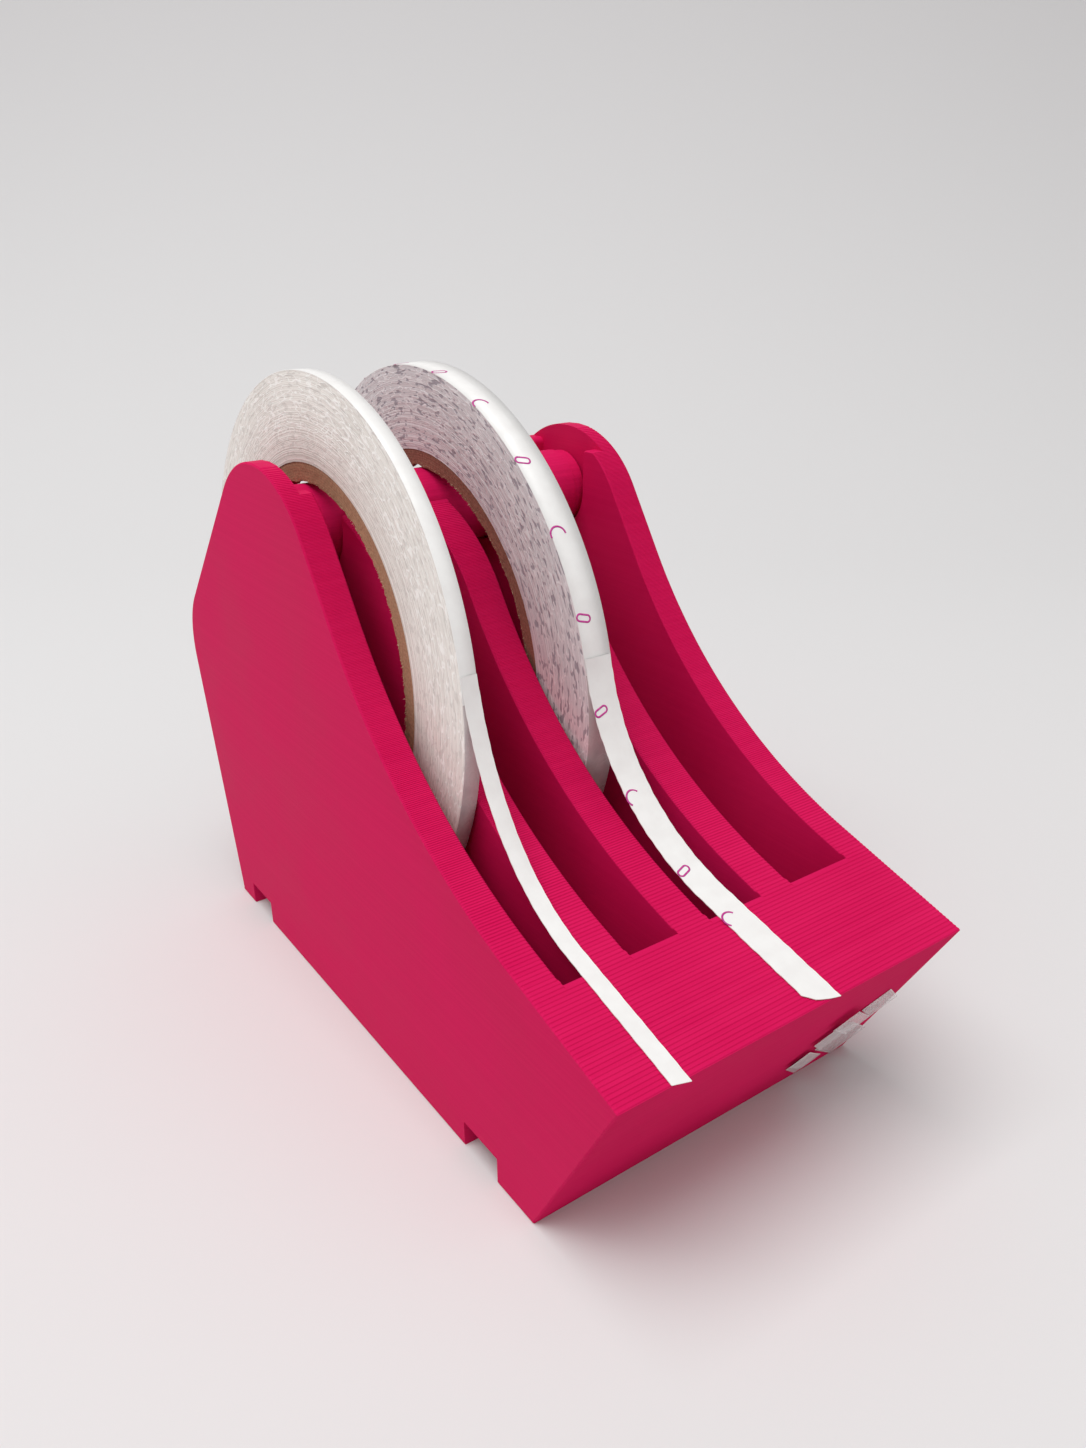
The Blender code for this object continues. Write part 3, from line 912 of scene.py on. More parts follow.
    def build(self) -> Piece:
        """Builds the whole print as one piece in place of the CAD stand."""
        wall = self.plate + self.cradle_layer
        width = 2 * wall + sum(self.slot_widths) + sum(self.dividers)
        spans = [("plate", self.plate, Edge.NONE, Edge.LEFT)]
        spans.append(("cradle", self.cradle_layer, Edge.RIGHT, Edge.NONE))
        for index, slot in enumerate(self.slot_widths):
            spans.append(("floor", slot, Edge.NONE, Edge.NONE))
            if index < len(self.dividers):
                spans.append(("divider", self.dividers[index], Edge.BOTH, Edge.NONE))
        spans.append(("cradle", self.cradle_layer, Edge.LEFT, Edge.NONE))
        spans.append(("plate", self.plate, Edge.NONE, Edge.RIGHT))
        all_points, all_faces, count = [], [], 0
        x = -width / 2.0
        for kind, thickness, edge, outer in spans:
            points, faces = self.slab(kind, x, x + thickness, edge, outer)
            all_points.append(points)
            all_faces += [tuple(i + count for i in face) for face in faces]
            count += len(points)
            x += thickness
        points = np.vstack(all_points) - np.array([0.0, self.depth / 2.0, 0.0])
        piece = make_mesh("printed_stand", points, all_faces)
        piece.data.materials.append(FusedPla().make())
        return finish_piece(piece, Body.STAND, ["stand"])


# ------------------------------------------------------------------------------ spindle


@dataclass
class PrintedSpindle:
    """The loose round bar, printed lying down, with a slightly thinner journal at each end."""

    centre: Point = (TOE[0] + AXIS_SETBACK, AXIS_HEIGHT)
    radius: float = 9.0
    journal: float = 8.65
    half: float = 38.0
    journal_length: float = 3.4
    chamfer: float = 0.8
    bevel: float = 0.12
    nose: Point = (0.2, 0.6)
    thread_dip: float = 0.03
    segments: int = 128

    def build(self) -> Piece:
        """Turns the bar about its axis and closes its ends."""
        shoulder = self.half - self.journal_length
        right = [(shoulder - self.bevel, self.radius), (shoulder, self.radius - self.bevel)]
        right += [(shoulder, self.journal), (self.half - self.chamfer, self.journal)]
        right += [(self.half - self.nose[0], self.journal - self.nose[1])]
        right += [(self.half, self.journal - self.chamfer)]
        profile = [(-x, r) for x, r in reversed(right)] + right
        angles = np.linspace(0.0, 2 * math.pi, self.segments, endpoint=False)
        points = []
        for angle in angles:
            flat = self.thread_dip * (round(math.sin(angle) * self.radius / LAYER) % 2)
            for x, r in profile:
                y = self.centre[0] + (r - flat) * math.cos(angle)
                points.append((x, y, self.centre[1] + (r - flat) * math.sin(angle)))
        columns = len(profile)
        faces = grid_faces(self.segments, columns, closed=True)
        faces.append(tuple(i * columns for i in range(self.segments)))
        faces.append(tuple(i * columns + columns - 1 for i in range(self.segments))[::-1])
        piece = make_mesh("printed_spindle", points, [face[::-1] for face in faces])
        piece.data.materials.append(FusedPla(name="pla_fused_filament_spindle", relief=0.02).make())
        return finish_piece(piece, Body.SPINDLE, ["spindle"])


# ------------------------------------------------------------------------------ rolls


@dataclass
class TapeRoll:
    """A roll of narrow tape: its board core, torn fibres and the winding with its liner."""

    number: int
    body: Body
    slot: Slot
    width: float
    bore: float
    core_outer: float
    outer: float
    edge_finish: WoundEdge
    core_finish: CoreBoard
    relief: float
    seed: int
    steps: int = 224
    pitch: float = 0.36
    # Angles from the front where the turn under the leaving tail is shown greyer: partly its
    # uncovered adhesive, partly painted shade
    bare_and_shaded_arc: Point = (-60.0, 6.0)
    rim_round: float = 0.08
    core_inset: float = 0.12
    core_gap: float = 0.06
    bruise: float = 0.3
    centre: Vector = field(init=False)
    across: Vector = field(init=False)
    back: Vector = field(init=False)
    up: Vector = field(init=False)

    def __post_init__(self) -> None:
        """Takes the roll's own centre and axis from its joint."""
        name = f"roll_{self.number}_spin"
        joint = next(j for j in frame["joints"] if j["name"] == name)
        self.centre = Vector(joint["pos_m"]) / MM
        self.across = Vector(joint["axis"]).normalized()
        self.back = Vector((0.0, 0.0, 1.0)).cross(self.across).normalized()
        self.up = self.across.cross(self.back)

    @property
    def middle(self) -> Point:
        """The roll's centre seen from the side, as (y, z)."""
        return (self.centre.y, self.centre.z)

    def place(self, x: float, radius: float, angle: float) -> Vector:
        """A point of the roll from its place across, its radius and its angle from the back."""
        spoke = self.back * math.cos(angle) + self.up * math.sin(angle)
        return self.centre + self.across * x + spoke * radius

    def ring(self, name: str, profile: Sequence[Point], sides: Sequence[float]) -> Piece:
        """Turns a closed profile about the roll's axis.

        Args:
            name: The piece's name.
            profile: Points as (x across, radius), counter-clockwise.
            sides: For each point +1 or -1 where relief may press it in, towards which side, or 0.

        Returns:
            The ring, with the attribute side on its points.
        """
        angles = np.linspace(0.0, 2 * math.pi, self.steps, endpoint=False)
        points = [tuple(self.place(x, r, a)) for a in angles for x, r in profile]
        columns = len(profile)
        faces = grid_faces(self.steps, columns, closed=True)
        for row in range(self.steps):
            a, b = row * columns, ((row + 1) % self.steps) * columns
            faces.append((a + columns - 1, a, b, b + columns - 1))
        ring = make_mesh(name, points, faces)
        attribute = ring.data.attributes.new("side", "FLOAT", "POINT")
        attribute.data.foreach_set("value", np.tile(np.array(sides, np.float32), self.steps))
        return ring

    def relief_tree(self) -> Tree:
        """Tree that presses each turn of the winding in by its own amount, with a slow wander."""
        sizes = {
            "Centre": ("Vector", tuple(self.centre * MM)),
            "Across": ("Vector", tuple(self.across)),
            "Pitch": ("Float", self.pitch * MM),
            "Relief": ("Float", self.relief * MM),
            "Wander": ("Float", 0.5),
            "Seed": ("Float", float(self.seed)),
        }
        tree, given = new_geometry_tree("winding_relief", sizes)
        across = given.outputs["Across"]
        position = tree.nodes.new("GeometryNodeInputPosition").outputs[0]
        spoke = vector_node(tree, "SUBTRACT", {0: position, 1: given.outputs["Centre"]})
        along_axis = vector_node(tree, "DOT_PRODUCT", {0: spoke, 1: across}, 1)
        drop = vector_node(tree, "SCALE", {0: across, "Scale": along_axis})
        flat = vector_node(tree, "SUBTRACT", {0: spoke, 1: drop})
        length = vector_node(tree, "LENGTH", {0: flat}, 1)
        turns = math_node(tree, "DIVIDE", length, given.outputs["Pitch"])
        turn = math_node(tree, "FLOOR", math_node(tree, "ADD", turns, 0.5))
        own = white_noise(tree, math_node(tree, "ADD", turn, given.outputs["Seed"]))
        own = math_node(tree, "MULTIPLY", own, 0.5)
        slow = noise(tree, position, 420.0, 1.0)
        amount = math_node(tree, "MULTIPLY_ADD", slow, given.outputs["Wander"], own)
        side = named_attribute(tree, "side", "FLOAT")
        depth = math_node(tree, "MULTIPLY", amount, given.outputs["Relief"])
        pressed = math_node(tree, "MULTIPLY", depth, side)
        offset = vector_node(tree, "SCALE", {0: across, "Scale": pressed})
        inputs = {"Geometry": given.outputs[0], "Offset": offset}
        moved = add_node(tree, "GeometryNodeSetPosition", inputs)
        return close_tree(tree, given, moved.outputs[0])

    def build_winding(self) -> Piece:
        """Builds the winding, with every turn a little in or out on both sides."""
        half = self.width / 2.0
        inner = self.core_outer + self.core_gap
        first = math.ceil(inner / self.pitch) * self.pitch
        radii = [inner] + list(np.arange(first, self.outer - 0.2, self.pitch)) + [self.outer - 0.1]
        left = [(-half, r) for r in reversed(radii)]
        right = [(half, r) for r in radii]
        rim = [(x, self.outer) for x in (half - self.rim_round, 0.0, -half + self.rim_round)]
        profile = left + right + rim
        sides = [1.0] * len(left) + [-1.0] * len(right) + [0.0] * 3
        piece = self.ring(f"roll_{self.number}_winding", profile, sides)
        bake_nodes(piece, self.relief_tree(), {"Material": self.edge_finish.make(self.middle)})
        liner = ReleaseLiner(f"roll_{self.number}_liner_glassine")
        # Greyer finish for that turn: partly the uncovered adhesive's own colour, partly painted
        # shade under the leaving tail
        film = ReleaseLiner(f"roll_{self.number}_bare_adhesive_painted_shade", "#CFC5C4", "#BDB2B3", 0.3)
        for finish in (liner, film):
            piece.data.materials.append(finish.make())
        for face in piece.data.polygons:
            spoke = face.center / MM - self.centre
            x = spoke.dot(self.across)
            spoke = spoke - self.across * x
            if spoke.length > self.outer - 0.09 and abs(x) < half:
                angle = math.degrees(math.atan2(spoke.dot(self.up), -spoke.dot(self.back)))
                # The greyer finish goes on that arc, partly as painted shade
                face.material_index = 2 if self.bare_and_shaded_arc[0] < angle < self.bare_and_shaded_arc[1] else 1
                face.use_smooth = True
        return finish_piece(piece, self.body, [f"roll_{self.number}_tape"])

    def build_core(self) -> Piece:
        """Builds the board core, with a bruised inner edge."""
        half = self.width / 2.0 - self.core_inset
        radii = np.linspace(self.bore, self.core_outer, 9)
        left = [(-half, r) for r in reversed(radii)]
        right = [(half, r) for r in radii]
        sides = [1.0] * len(left) + [-1.0] * len(right)
        piece = self.ring(f"roll_{self.number}_board_core", left + right, sides)
        rng = np.random.default_rng(self.seed)
        columns = len(sides)
        knocks = rng.normal(0.0, self.bruise, self.steps + 4)
        bruise = np.abs(np.convolve(knocks, np.ones(2) / 1.6, "same"))[: self.steps]
        for row in range(self.steps):
            for column in (len(left) - 1, len(left)):
                vertex = piece.data.vertices[row * columns + column]
                spoke = vertex.co / MM - self.centre
                spoke = (spoke - self.across * spoke.dot(self.across)).normalized()
                lean = self.across * (0.25 * bruise[row] * (1.0 if column < len(left) else -1.0))
                vertex.co += (spoke * float(bruise[row]) + lean) * MM
        values = {"Relief": 0.16 * MM, "Pitch": 0.9 * MM}
        values["Material"] = self.core_finish.make(self.middle)
        bake_nodes(piece, self.relief_tree(), values)
        return finish_piece(piece, self.body, [f"roll_{self.number}_core"])

    def fuzz_tree(self) -> Tree:
        """Tree that scatters short torn fibres over the faces it is given."""
        sizes = {
            "Density": ("Float", 4.0e6),
            "Length": ("Float", 0.42 * MM),
            "Thickness": ("Float", 0.06 * MM),
            "Seed": ("Int", self.seed),
        }
        tree, given = new_geometry_tree("torn_fibres", sizes)
        seed = given.outputs["Seed"]
        spots = {"Mesh": given.outputs[0], "Density": given.outputs["Density"], "Seed": seed}
        scatter = add_node(
            tree, "GeometryNodeDistributePointsOnFaces", spots, distribute_method="RANDOM"
        )
        cone = {"Vertices": 3, "Side Segments": 2, "Radius Top": 0.0}
        cone.update({"Radius Bottom": given.outputs["Thickness"], "Depth": given.outputs["Length"]})
        fibre = add_node(tree, "GeometryNodeMeshCone", cone)
        tips = {0: (-0.9, -0.9, 0.0), 1: (0.9, 0.9, 6.28), "Seed": seed}
        spin = add_node(tree, "FunctionNodeRandomValue", tips, data_type="FLOAT_VECTOR")
        leans = {0: scatter.outputs["Rotation"], 1: spin.outputs[0]}
        turned = add_node(tree, "FunctionNodeRotateRotation", leans, rotation_space="LOCAL")
        lengths = {2: 0.4, 3: 1.2, "Seed": seed}
        scale = add_node(tree, "FunctionNodeRandomValue", lengths, data_type="FLOAT")
        copies = {"Points": scatter.outputs["Points"], "Instance": fibre.outputs["Mesh"]}
        copies.update({"Rotation": turned.outputs[0], "Scale": scale.outputs[1]})
        placed = add_node(tree, "GeometryNodeInstanceOnPoints", copies)
        return close_tree(tree, given, placed.outputs[0])

    def build_fuzz(self) -> Piece:
        """Builds the torn fibres on the cut face and bruised edge of the core."""
        half = self.width / 2.0 - self.core_inset - 0.02
        angles = np.linspace(0.0, 2 * math.pi, 96, endpoint=False)
        radii = (self.bore + 0.35, self.bore + 1.0)
        points = [tuple(self.place(-half, r, angle)) for angle in angles for r in radii]
        faces = []
        for row in range(len(angles)):
            a, b = row * 2, ((row + 1) % len(angles)) * 2
            faces.append((a, b, b + 1, a + 1))
        piece = make_mesh(f"roll_{self.number}_core_fibres", points, faces)
        fibre = CoreBoard(f"roll_{self.number}_torn_fibre", "#DFC6AA", "#B08C6C").make(self.middle)
        bake_nodes(piece, self.fuzz_tree(), {"Material": fibre})
        return finish_piece(piece, self.body)

    def build(self) -> None:
        """Builds every piece of the roll."""
        self.build_core()
        self.build_fuzz()
        self.build_winding()


# ------------------------------------------------------------------------------ tails and marks


@dataclass
class TapeTail:
    """The loose end of a roll, off its front and down the ramp to the lip."""

    roll: TapeRoll
    leaves_above: float
    shift: float
    end_cut: Sequence[Point]
    thickness: float = 0.16
    gap: float = 0.14
    tread_gap: float = 0.05
    fade: float = 0.06
    overhang: float = 0.9
    worn: float = 0.05
    landing: float = 4.0
    hang_pull: float = 17.0
    ramp_pull: float = 20.0
    curl: float = 0.1
    narrowed: float = 0.025
    rows: int = 150
    columns: int = 9

    def path(self) -> np.ndarray:
        """Middle line as (y, z) points, evenly spaced."""
        centre = self.roll.centre
        reach = self.roll.outer + self.tread_gap + self.thickness / 2.0
        angle = math.asin(self.leaves_above / reach)
        start = np.array([centre.y - reach * math.cos(angle), centre.z + self.leaves_above])
        down = np.array([-math.sin(angle), -math.cos(angle)])
        ramp = np.array([math.cos(RAMP_ANGLE), math.sin(RAMP_ANGLE)])
        normal = np.array([-ramp[1], ramp[0]])
        lift = self.gap + self.thickness / 2.0
        lip = np.array(LIP)
        landing = lip + ramp * ((LIP_OVERHANG + self.landing) / ramp[0]) + normal * lift
        handles = (start, start + down * self.hang_pull, landing + ramp * self.ramp_pull, landing)
        t = np.linspace(0.0, 1.0, 90)[:, None]
        curve = (1 - t) ** 3 * handles[0] + 3 * t * (1 - t) ** 2 * handles[1]
        curve = curve + 3 * t**2 * (1 - t) * handles[2] + t**3 * handles[3]
        end = lip - ramp * self.overhang + normal * lift
        straight = landing + (end - landing) * np.linspace(0.0, 1.0, 40)[1:, None]
        return np.vstack([curve, straight])

    def frame_at(self, share: Any) -> Tuple[np.ndarray, np.ndarray, np.ndarray]:
        """Place, direction and sideways drift of the middle line at shares of its length."""
        line = self.path()
        run = np.concatenate([[0.0], np.cumsum(np.linalg.norm(np.diff(line, axis=0), axis=1))])
        at = np.asarray(share) * run[-1]
        place = np.stack([np.interp(at, run, line[:, i]) for i in (0, 1)], axis=-1)
        ahead = np.stack([np.interp(at + 0.3, run, line[:, i]) for i in (0, 1)], axis=-1)
        behind = np.stack([np.interp(at - 0.3, run, line[:, i]) for i in (0, 1)], axis=-1)
        along = ahead - behind
        along = along / np.linalg.norm(along, axis=-1, keepdims=True)
        drift = self.shift * (line[0, 0] - place[..., 0]) / (line[0, 0] - line[-1, 0])
        return place, along, drift

    def surface(self, share: float, side: float, lift: float) -> Tuple[float, float, float]:
        """A point of the tail from its share of the length, its side (-1 to 1) and its lift."""
        place, along, drift = self.frame_at(share)
        roll = self.roll
        wear = 0.5 + 0.25 * math.sin(71.0 * share + side)
        wear += 0.25 * math.sin(173.0 * share + 3.0 * side)
        side *= 1.0 - self.worn * wear
        lean = roll.across / roll.across.x
        front = roll.centre.x + lean.y * roll.outer - lean.z * self.leaves_above
        curl = self.curl * side * side * math.sin(math.pi * min(1.0, share * 1.6)) ** 2
        if share < self.fade:
            half, grown = self.thickness / 2.0, share / self.fade
            lift = (lift + half) * (0.1 + 0.9 * grown) - half
            side *= 1.0 - self.narrowed * (1.0 - grown)
        outward = np.array([along[1], -along[0]])
        y, z = place - outward * (lift + curl)
        return (front + float(drift) + side * roll.width / 2.0, float(y), float(z))

    def build(self) -> Piece:
        """Builds the ribbon with its cut end."""
        sides = np.linspace(-1.0, 1.0, self.columns)
        cut_side = [point[0] for point in self.end_cut]
        cut_share = [point[1] for point in self.end_cut]
        points = []
        for lift in (self.thickness / 2.0, -self.thickness / 2.0):
            for row in range(self.rows):
                for side in sides:
                    end = float(np.interp(side, cut_side, cut_share))
                    points.append(self.surface(end * row / (self.rows - 1), side, lift))
        faces = sheet_faces(self.rows, self.columns)
        piece = make_mesh(f"roll_{self.roll.number}_tail_ribbon", points, faces, smooth=True)
        fix_normals(piece)
        piece.data.set_sharp_from_angle(angle=math.radians(40.0))
        liner = ReleaseLiner(name=f"tail_{self.roll.number}_liner_glassine")
        piece.data.materials.append(liner.make())
        return finish_piece(piece, Body.STAND, [f"roll_{self.roll.number}_tail"])


def mark_tree() -> Tree:
    """Tree that prints a ring-shaped pill and an arc by turns on the points it is given."""
    sizes = {
        "Length": ("Float", 3.1 * MM),
        "Height": ("Float", 1.4 * MM),
        "Stroke": ("Float", 0.2 * MM),
    }
    tree, given = new_geometry_tree("printed_marks", sizes)
    length, height = given.outputs["Length"], given.outputs["Height"]
    pen = {"Resolution": 6, "Radius": given.outputs["Stroke"]}
    stroke = add_node(tree, "GeometryNodeCurvePrimitiveCircle", pen)
    box = {"Width": length, "Height": height}
    pill = add_node(tree, "GeometryNodeCurvePrimitiveQuadrilateral", box)
    half = math_node(tree, "MULTIPLY", height, 0.49)
    ends = {"Curve": pill.outputs[0], "Radius": half, "Count": 6}
    rounded = add_node(tree, "GeometryNodeFilletCurve", ends, mode="POLY")
    bend = {"Resolution": 14, "Radius": math_node(tree, "MULTIPLY", length, 0.55)}
    bend.update({"Start Angle": 0.3, "Sweep Angle": 3.4})
    bow = add_node(tree, "GeometryNodeCurveArc", bend, mode="RADIUS")
    index = tree.nodes.new("GeometryNodeInputIndex").outputs[0]
    odd = math_node(tree, "MODULO", index, 2.0)
    even = math_node(tree, "SUBTRACT", 1.0, odd)
    names = enumerate(("outward", "along"))
    ways = {i: named_attribute(tree, name, "FLOAT_VECTOR") for i, name in names}
    turn = add_node(
        tree, "FunctionNodeAxesToRotation", ways, primary_axis="Z", secondary_axis="X"
    ).outputs[0]
    join = add_node(tree, "GeometryNodeJoinGeometry")
    for shape, chosen in ((rounded, even), (bow, odd)):
        drawn = {"Curve": shape.outputs[0], "Profile Curve": stroke.outputs[0], "Fill Caps": True}
        tube = add_node(tree, "GeometryNodeCurveToMesh", drawn).outputs[0]
        squash = {"Geometry": tube, "Scale": (1.0, 1.0, 0.12)}
        flat = add_node(tree, "GeometryNodeTransform", squash).outputs[0]
        copies = {"Points": given.outputs[0], "Instance": flat}
        copies.update({"Selection": chosen, "Rotation": turn})
        placed = add_node(tree, "GeometryNodeInstanceOnPoints", copies)
        tree.links.new(placed.outputs[0], join.inputs[0])
    return close_tree(tree, given, join.outputs[0])


@dataclass
class PrintedMarks:
    """Plain generic marks, printed along one edge of the second roll's liner."""

    tail: TapeTail
    spacing: float = 17.0
    inset: float = 0.5
    lift: float = 0.03
    slant: float = 0.35
    margin: float = 0.3
    tail_shares: Tuple[float, ...] = (0.13, 0.35, 0.56, 0.72)

    def stamp(self, name: str, rows: List[Tuple[Vector, Vector, Vector]], body: Body) -> Piece:
        """Builds the marks of one body from (place, outward, along) rows."""
        points = [tuple(place) for place, _, _ in rows]
        piece = make_mesh(name, points, [])
        for label, index in (("outward", 1), ("along", 2)):
            attribute = piece.data.attributes.new(label, "FLOAT_VECTOR", "POINT")
            values = np.array([tuple(row[index]) for row in rows], np.float32)
            attribute.data.foreach_set("vector", values.ravel())
        material = FlexoInk(name="flexo_ink_" + body.value).make()
        bake_nodes(piece, mark_tree(), {"Material": material})
        return finish_piece(piece, body)

    def build(self) -> None:
        """Prints the marks round the roll and down the tail."""
        roll = self.tail.roll
        rows = []
        step = self.spacing / roll.outer
        angle = math.pi - self.margin
        side = -roll.width / 2.0 * self.inset
        while angle > self.margin:
            outward = (roll.back * math.cos(angle) + roll.up * math.sin(angle)).normalized()
            along = roll.up * math.cos(angle) - roll.back * math.sin(angle)
            turned = (along * self.slant + roll.across).normalized()
            rows.append((roll.place(side, roll.outer + 0.01, angle), outward, turned))
            angle -= step
        self.stamp("roll_2_printed_marks", rows, roll.body)
        rows = []
        for share in self.tail_shares:
            along = self.tail.frame_at(share)[1]
            outward = Vector((0.0, -along[1], along[0]))
            way = Vector((1.0, -self.slant * along[0], -self.slant * along[1])).normalized()
            lift = -self.tail.thickness / 2.0 - self.lift
            point = Vector(self.tail.surface(share, -self.inset, lift))
            rows.append((point, -outward, way))
        self.stamp("tail_2_printed_marks", rows, Body.STAND)


# ------------------------------------------------------------------------------ clear tape


@dataclass(frozen=True)
class Scrap:
    """One scrap: its middle from the right edge and up the face, its sizes, tilt and layer."""

    from_edge: float
    up_face: float
    length: float
    width: float
    tilt: float
    layer: int
    opacity: float


@dataclass
class TapeScraps:
    """Short scraps of clear tape pressed on the slanted front face."""

    scraps: Sequence[Scrap]
    right_edge: float = 42.5
    film: float = 0.08
    lift: float = 0.2
    ply: float = 0.53
    ragged: float = 0.12
    ripple: float = 0.02
    cells: int = 24

    def build_one(self, index: int, scrap: Scrap) -> Piece:
        """Builds one scrap as thin film with slightly uneven edges and a soft ripple."""
        face = np.array([0.0, LIP[0] - TOE[0], LIP[1] - TOE[1]])
        face /= np.linalg.norm(face)
        outward = np.array([0.0, -face[2], face[1]])
        middle = np.array([self.right_edge - scrap.from_edge, TOE[0], TOE[1]])
        middle = middle + face * scrap.up_face
        tilt = math.radians(scrap.tilt)
        along = np.array([math.cos(tilt), 0.0, 0.0]) + face * math.sin(tilt)
        across = np.array([-math.sin(tilt), 0.0, 0.0]) + face * math.cos(tilt)
        rng = np.random.default_rng(40 + index)
        wave = np.abs(rng.normal(0.0, self.ragged, (4, self.cells + 1)))
        rows = self.cells + 1
        points = []
        for side in (1.0, -1.0):
            for i in range(rows):
                for j in range(rows):
                    u, v = 2.0 * i / self.cells - 1.0, 2.0 * j / self.cells - 1.0
                    reach = scrap.length / 2.0 - (wave[0, j] if u > 0.0 else wave[1, j])
                    span = scrap.width / 2.0 - 0.4 * (wave[2, i] if v > 0.0 else wave[3, i])
                    ripple = self.ripple * math.sin(3.1 * u + index) * math.cos(2.3 * v)
                    lift = self.ply * scrap.layer + self.lift + ripple
                    lift += self.film * (0.5 + 0.5 * side)
                    flat = middle + along * (u * reach) + across * (v * span)
                    points.append(flat + outward * lift)
        faces = [face[::-1] for face in sheet_faces(rows, rows)]
        piece = make_mesh(f"clear_film_{index + 1}", points, faces, smooth=True)
        fix_normals(piece)
        # Marks the outline, where the film's material paints a highlight
        outer = np.zeros(rows * rows, np.float32)
        outer[grid_rim(rows, rows)] = 1.0
        rim = piece.data.attributes.new("rim", "FLOAT", "POINT")
        rim.data.foreach_set("value", np.tile(outer, 2))
        finish = ClearAdhesiveTape(name=f"acetate_tape_{index + 1}", opacity=scrap.opacity)
        piece.data.materials.append(finish.make())
        return finish_piece(piece, Body.STAND, [f"clear_tape_scrap_{index + 1}"])

    def build(self) -> None:
        """Builds every scrap."""
        for index, scrap in enumerate(self.scraps):
            self.build_one(index, scrap)


# ------------------------------------------------------------------------------ studio


@dataclass
class Studio:
    """Camera, soft lamps, world and a pale sweep."""

    camera_place: Tuple[float, float, float] = (-127.6, -195.7, 169.1)
    azimuth: float = math.radians(35.138)
    elevation: float = math.radians(24.076)
    roll: float = math.radians(0.387)
    lens: float = 27.81
    world_strength: float = 0.6
    aim_height: float = 0.06
    sweep_start: float = 0.35
    sweep_radius: float = 1.0

    def build_camera(self) -> None:
        """Places the camera by its direction and a slight roll."""
        cos_up = math.cos(self.elevation)
        level_ahead = Vector((math.sin(self.azimuth), math.cos(self.azimuth), 0.0))
        ahead = level_ahead * cos_up - Vector((0.0, 0.0, math.sin(self.elevation)))
        level = ahead.cross(Vector((0.0, 0.0, 1.0))).normalized()
        under = ahead.cross(level)
        right = level * math.cos(self.roll) + under * math.sin(self.roll)
        top = -(under * math.cos(self.roll) - level * math.sin(self.roll))
        turn = Matrix((right, top, -ahead)).transposed().to_4x4()
        turn.translation = Vector(self.camera_place) * MM
        data = bpy.data.cameras.new("camera")
        data.lens = self.lens
        data.sensor_width = 36.0
        data.clip_start = 0.01
        data.clip_end = 20.0
        camera = bpy.data.objects.new("camera", data)
        bpy.context.scene.collection.objects.link(camera)
        camera.matrix_world = turn
        bpy.context.scene.camera = camera

    def lamp(self, name: str, place: Sequence[float], size: float, watts: float) -> None:
        """Adds a square soft lamp that points at the stand."""
        data = bpy.data.lights.new(name, "AREA")
        data.size = size
        data.energy = watts
        lamp = bpy.data.objects.new(name, data)
        bpy.context.scene.collection.objects.link(lamp)
        lamp.location = place
        aim = Vector((0.0, 0.0, self.aim_height)) - Vector(place)
        lamp.rotation_euler = aim.to_track_quat("-Z", "Y").to_euler()

    def build_sweep(self) -> None:
        """Builds the floor that curves up into a wall, square to the camera's direction."""
        start, radius = self.sweep_start, self.sweep_radius
        profile = [(-3.0, 0.0), (start, 0.0)]
        bend = np.linspace(0.05, math.pi / 2, 28)
        profile += [(start + radius * math.sin(a), radius - radius * math.cos(a)) for a in bend]
        profile.append((start + radius, 4.0))
        ahead = (math.sin(self.azimuth), math.cos(self.azimuth))
        points, count = [], len(profile)
        for x in (-4.0, 4.0):
            for far, high in profile:
                place = (x * ahead[1] + far * ahead[0], -x * ahead[0] + far * ahead[1], high)
                points.append(tuple(c / MM for c in place))
        faces = [(i, count + i, count + i + 1, i + 1) for i in range(count - 1)]
        sweep = make_mesh("studio_sweep", points, faces, smooth=True)
        sweep.data.materials.append(PaleSweep().make())

    def build(self) -> None:
        """Builds the camera, lamps, world and sweep."""
        self.build_camera()
        self.build_sweep()
        self.lamp("overhead_softbox", (-0.5, -0.05, 1.68), 1.3, 23.0)
        world = bpy.data.worlds.new("studio_air")
        world.use_nodes = True
        background = world.node_tree.nodes["Background"]
        background.inputs["Color"].default_value = linear("#FFFFFF")
        background.inputs["Strength"].default_value = self.world_strength
        bpy.context.scene.world = world
        bpy.context.scene.view_settings.view_transform = "Standard"


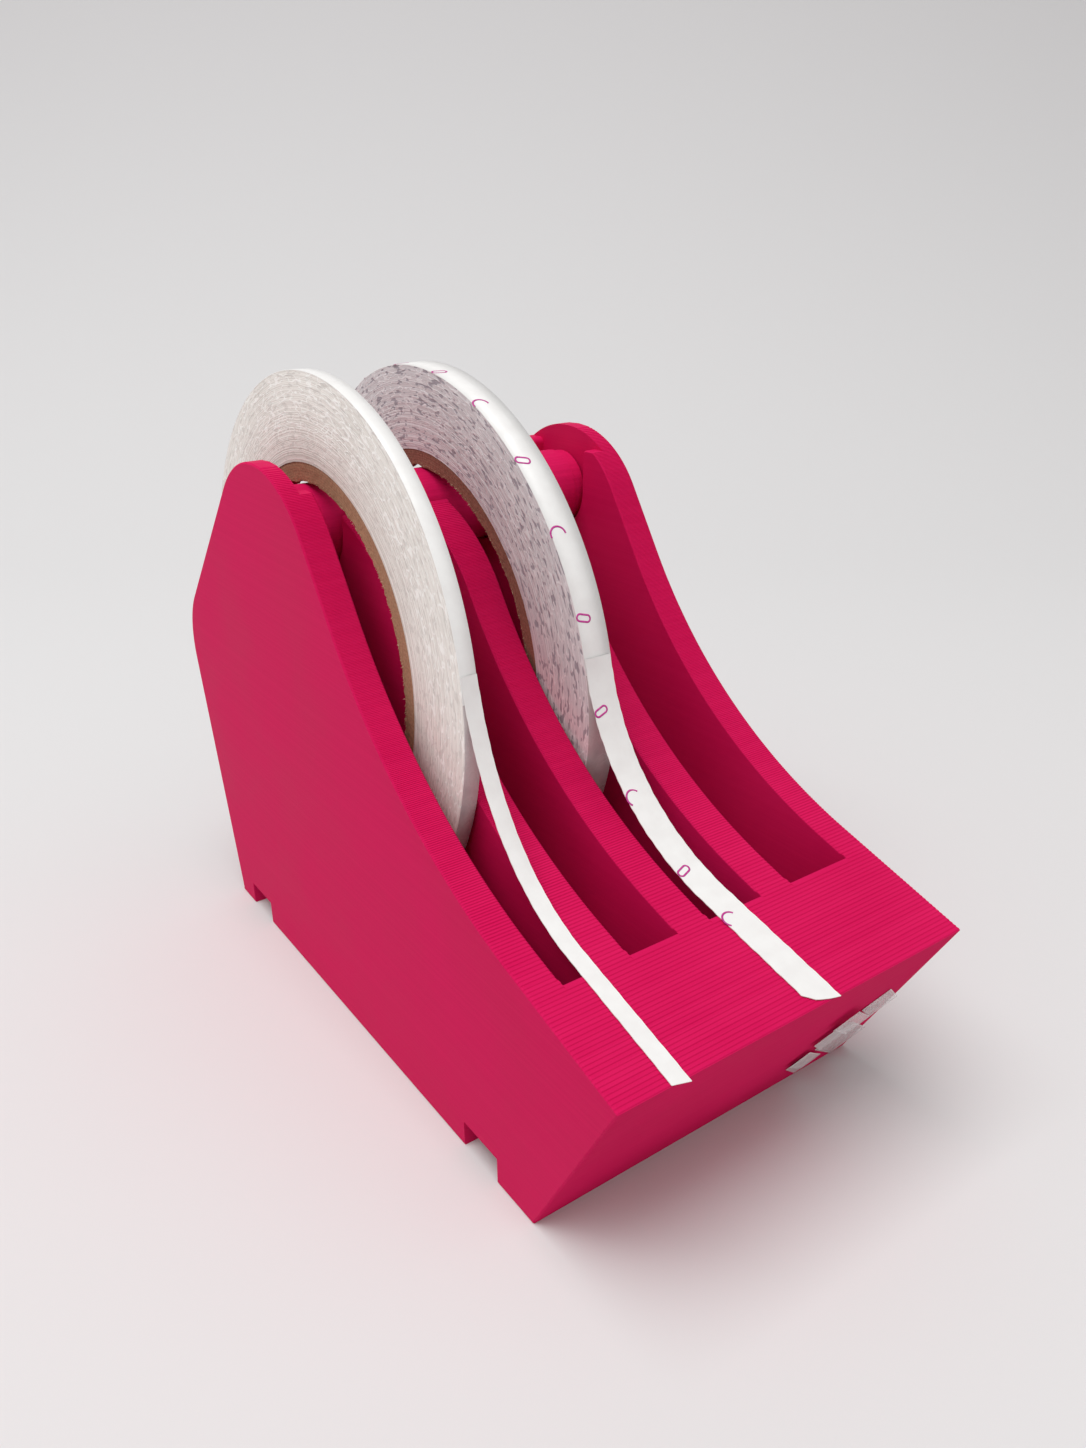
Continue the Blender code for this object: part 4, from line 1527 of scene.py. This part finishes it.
def main() -> None:
    """Builds every sub-assembly in order."""
    logging.basicConfig(level=logging.INFO, format="%(name)s %(message)s")
    Studio().build()
    PrintedStand().build()
    PrintedSpindle().build()
    rolls = [
        TapeRoll(
            number=1,
            body=Body.ROLL_1,
            slot=Slot.PLAIN,
            width=3.6,
            bore=36.9,
            core_outer=41.1,
            outer=59.9,
            edge_finish=WoundEdge(
                name="roll_1_tape_edges_slit",
                core=41.1,
                light="#F6F2EC",
                dark="#CEC7BF",
                worm_colour="#FDFBF7",
                dash_colour="#B2ABA6",
                worms=0.8,
                dashes=0.3,
            ),
            core_finish=CoreBoard("roll_1_core_board_spiral_wound", "#B58B6D", "#8E674C"),
            relief=0.06,
            seed=11,
        ),
        TapeRoll(
            number=2,
            body=Body.ROLL_2,
            slot=Slot.PRINTED,
            width=6.6,
            bore=38.5,
            core_outer=42.3,
            outer=60.8,
            edge_finish=WoundEdge(
                name="roll_2_tape_edges_slit",
                core=42.3,
                light="#EFEBEC",
                dark="#CBC4C9",
                worm_colour="#FBF8F9",
                dash_colour="#8E8592",
                worms=0.75,
                dashes=0.7,
            ),
            core_finish=CoreBoard("roll_2_core_board_spiral_wound", "#A0705C", "#744A3A"),
            relief=0.12,
            seed=23,
        ),
    ]
    for roll in rolls:
        roll.build()
    first_cut = ((-1.0, 0.989), (1.0, 1.0))
    second_cut = ((-1.0, 0.952), (-0.45, 0.976), (0.35, 0.987), (1.0, 0.993))
    tails = [
        TapeTail(rolls[0], leaves_above=12.0, shift=0.0, end_cut=first_cut),
        TapeTail(rolls[1], leaves_above=10.0, shift=3.3, end_cut=second_cut),
    ]
    for tail in tails:
        tail.build()
    PrintedMarks(tails[1]).build()
    scraps = [
        Scrap(8.5, 11.2, 18.8, 9.9, -45.0, 0, 0.46),
        Scrap(5.7, 24.8, 14.4, 7.4, -47.0, 0, 0.42),
        Scrap(18.4, 20.5, 9.9, 6.9, -50.0, 1, 0.5),
        Scrap(16.6, 26.6, 14.8, 6.5, -45.0, 2, 0.42),
        Scrap(20.5, 12.0, 11.9, 5.5, -44.0, 1, 0.55),
        Scrap(19.5, 7.6, 11.4, 4.1, -48.0, 0, 0.5),
    ]
    TapeScraps(scraps).build()


if __name__ == "__main__":
    main()
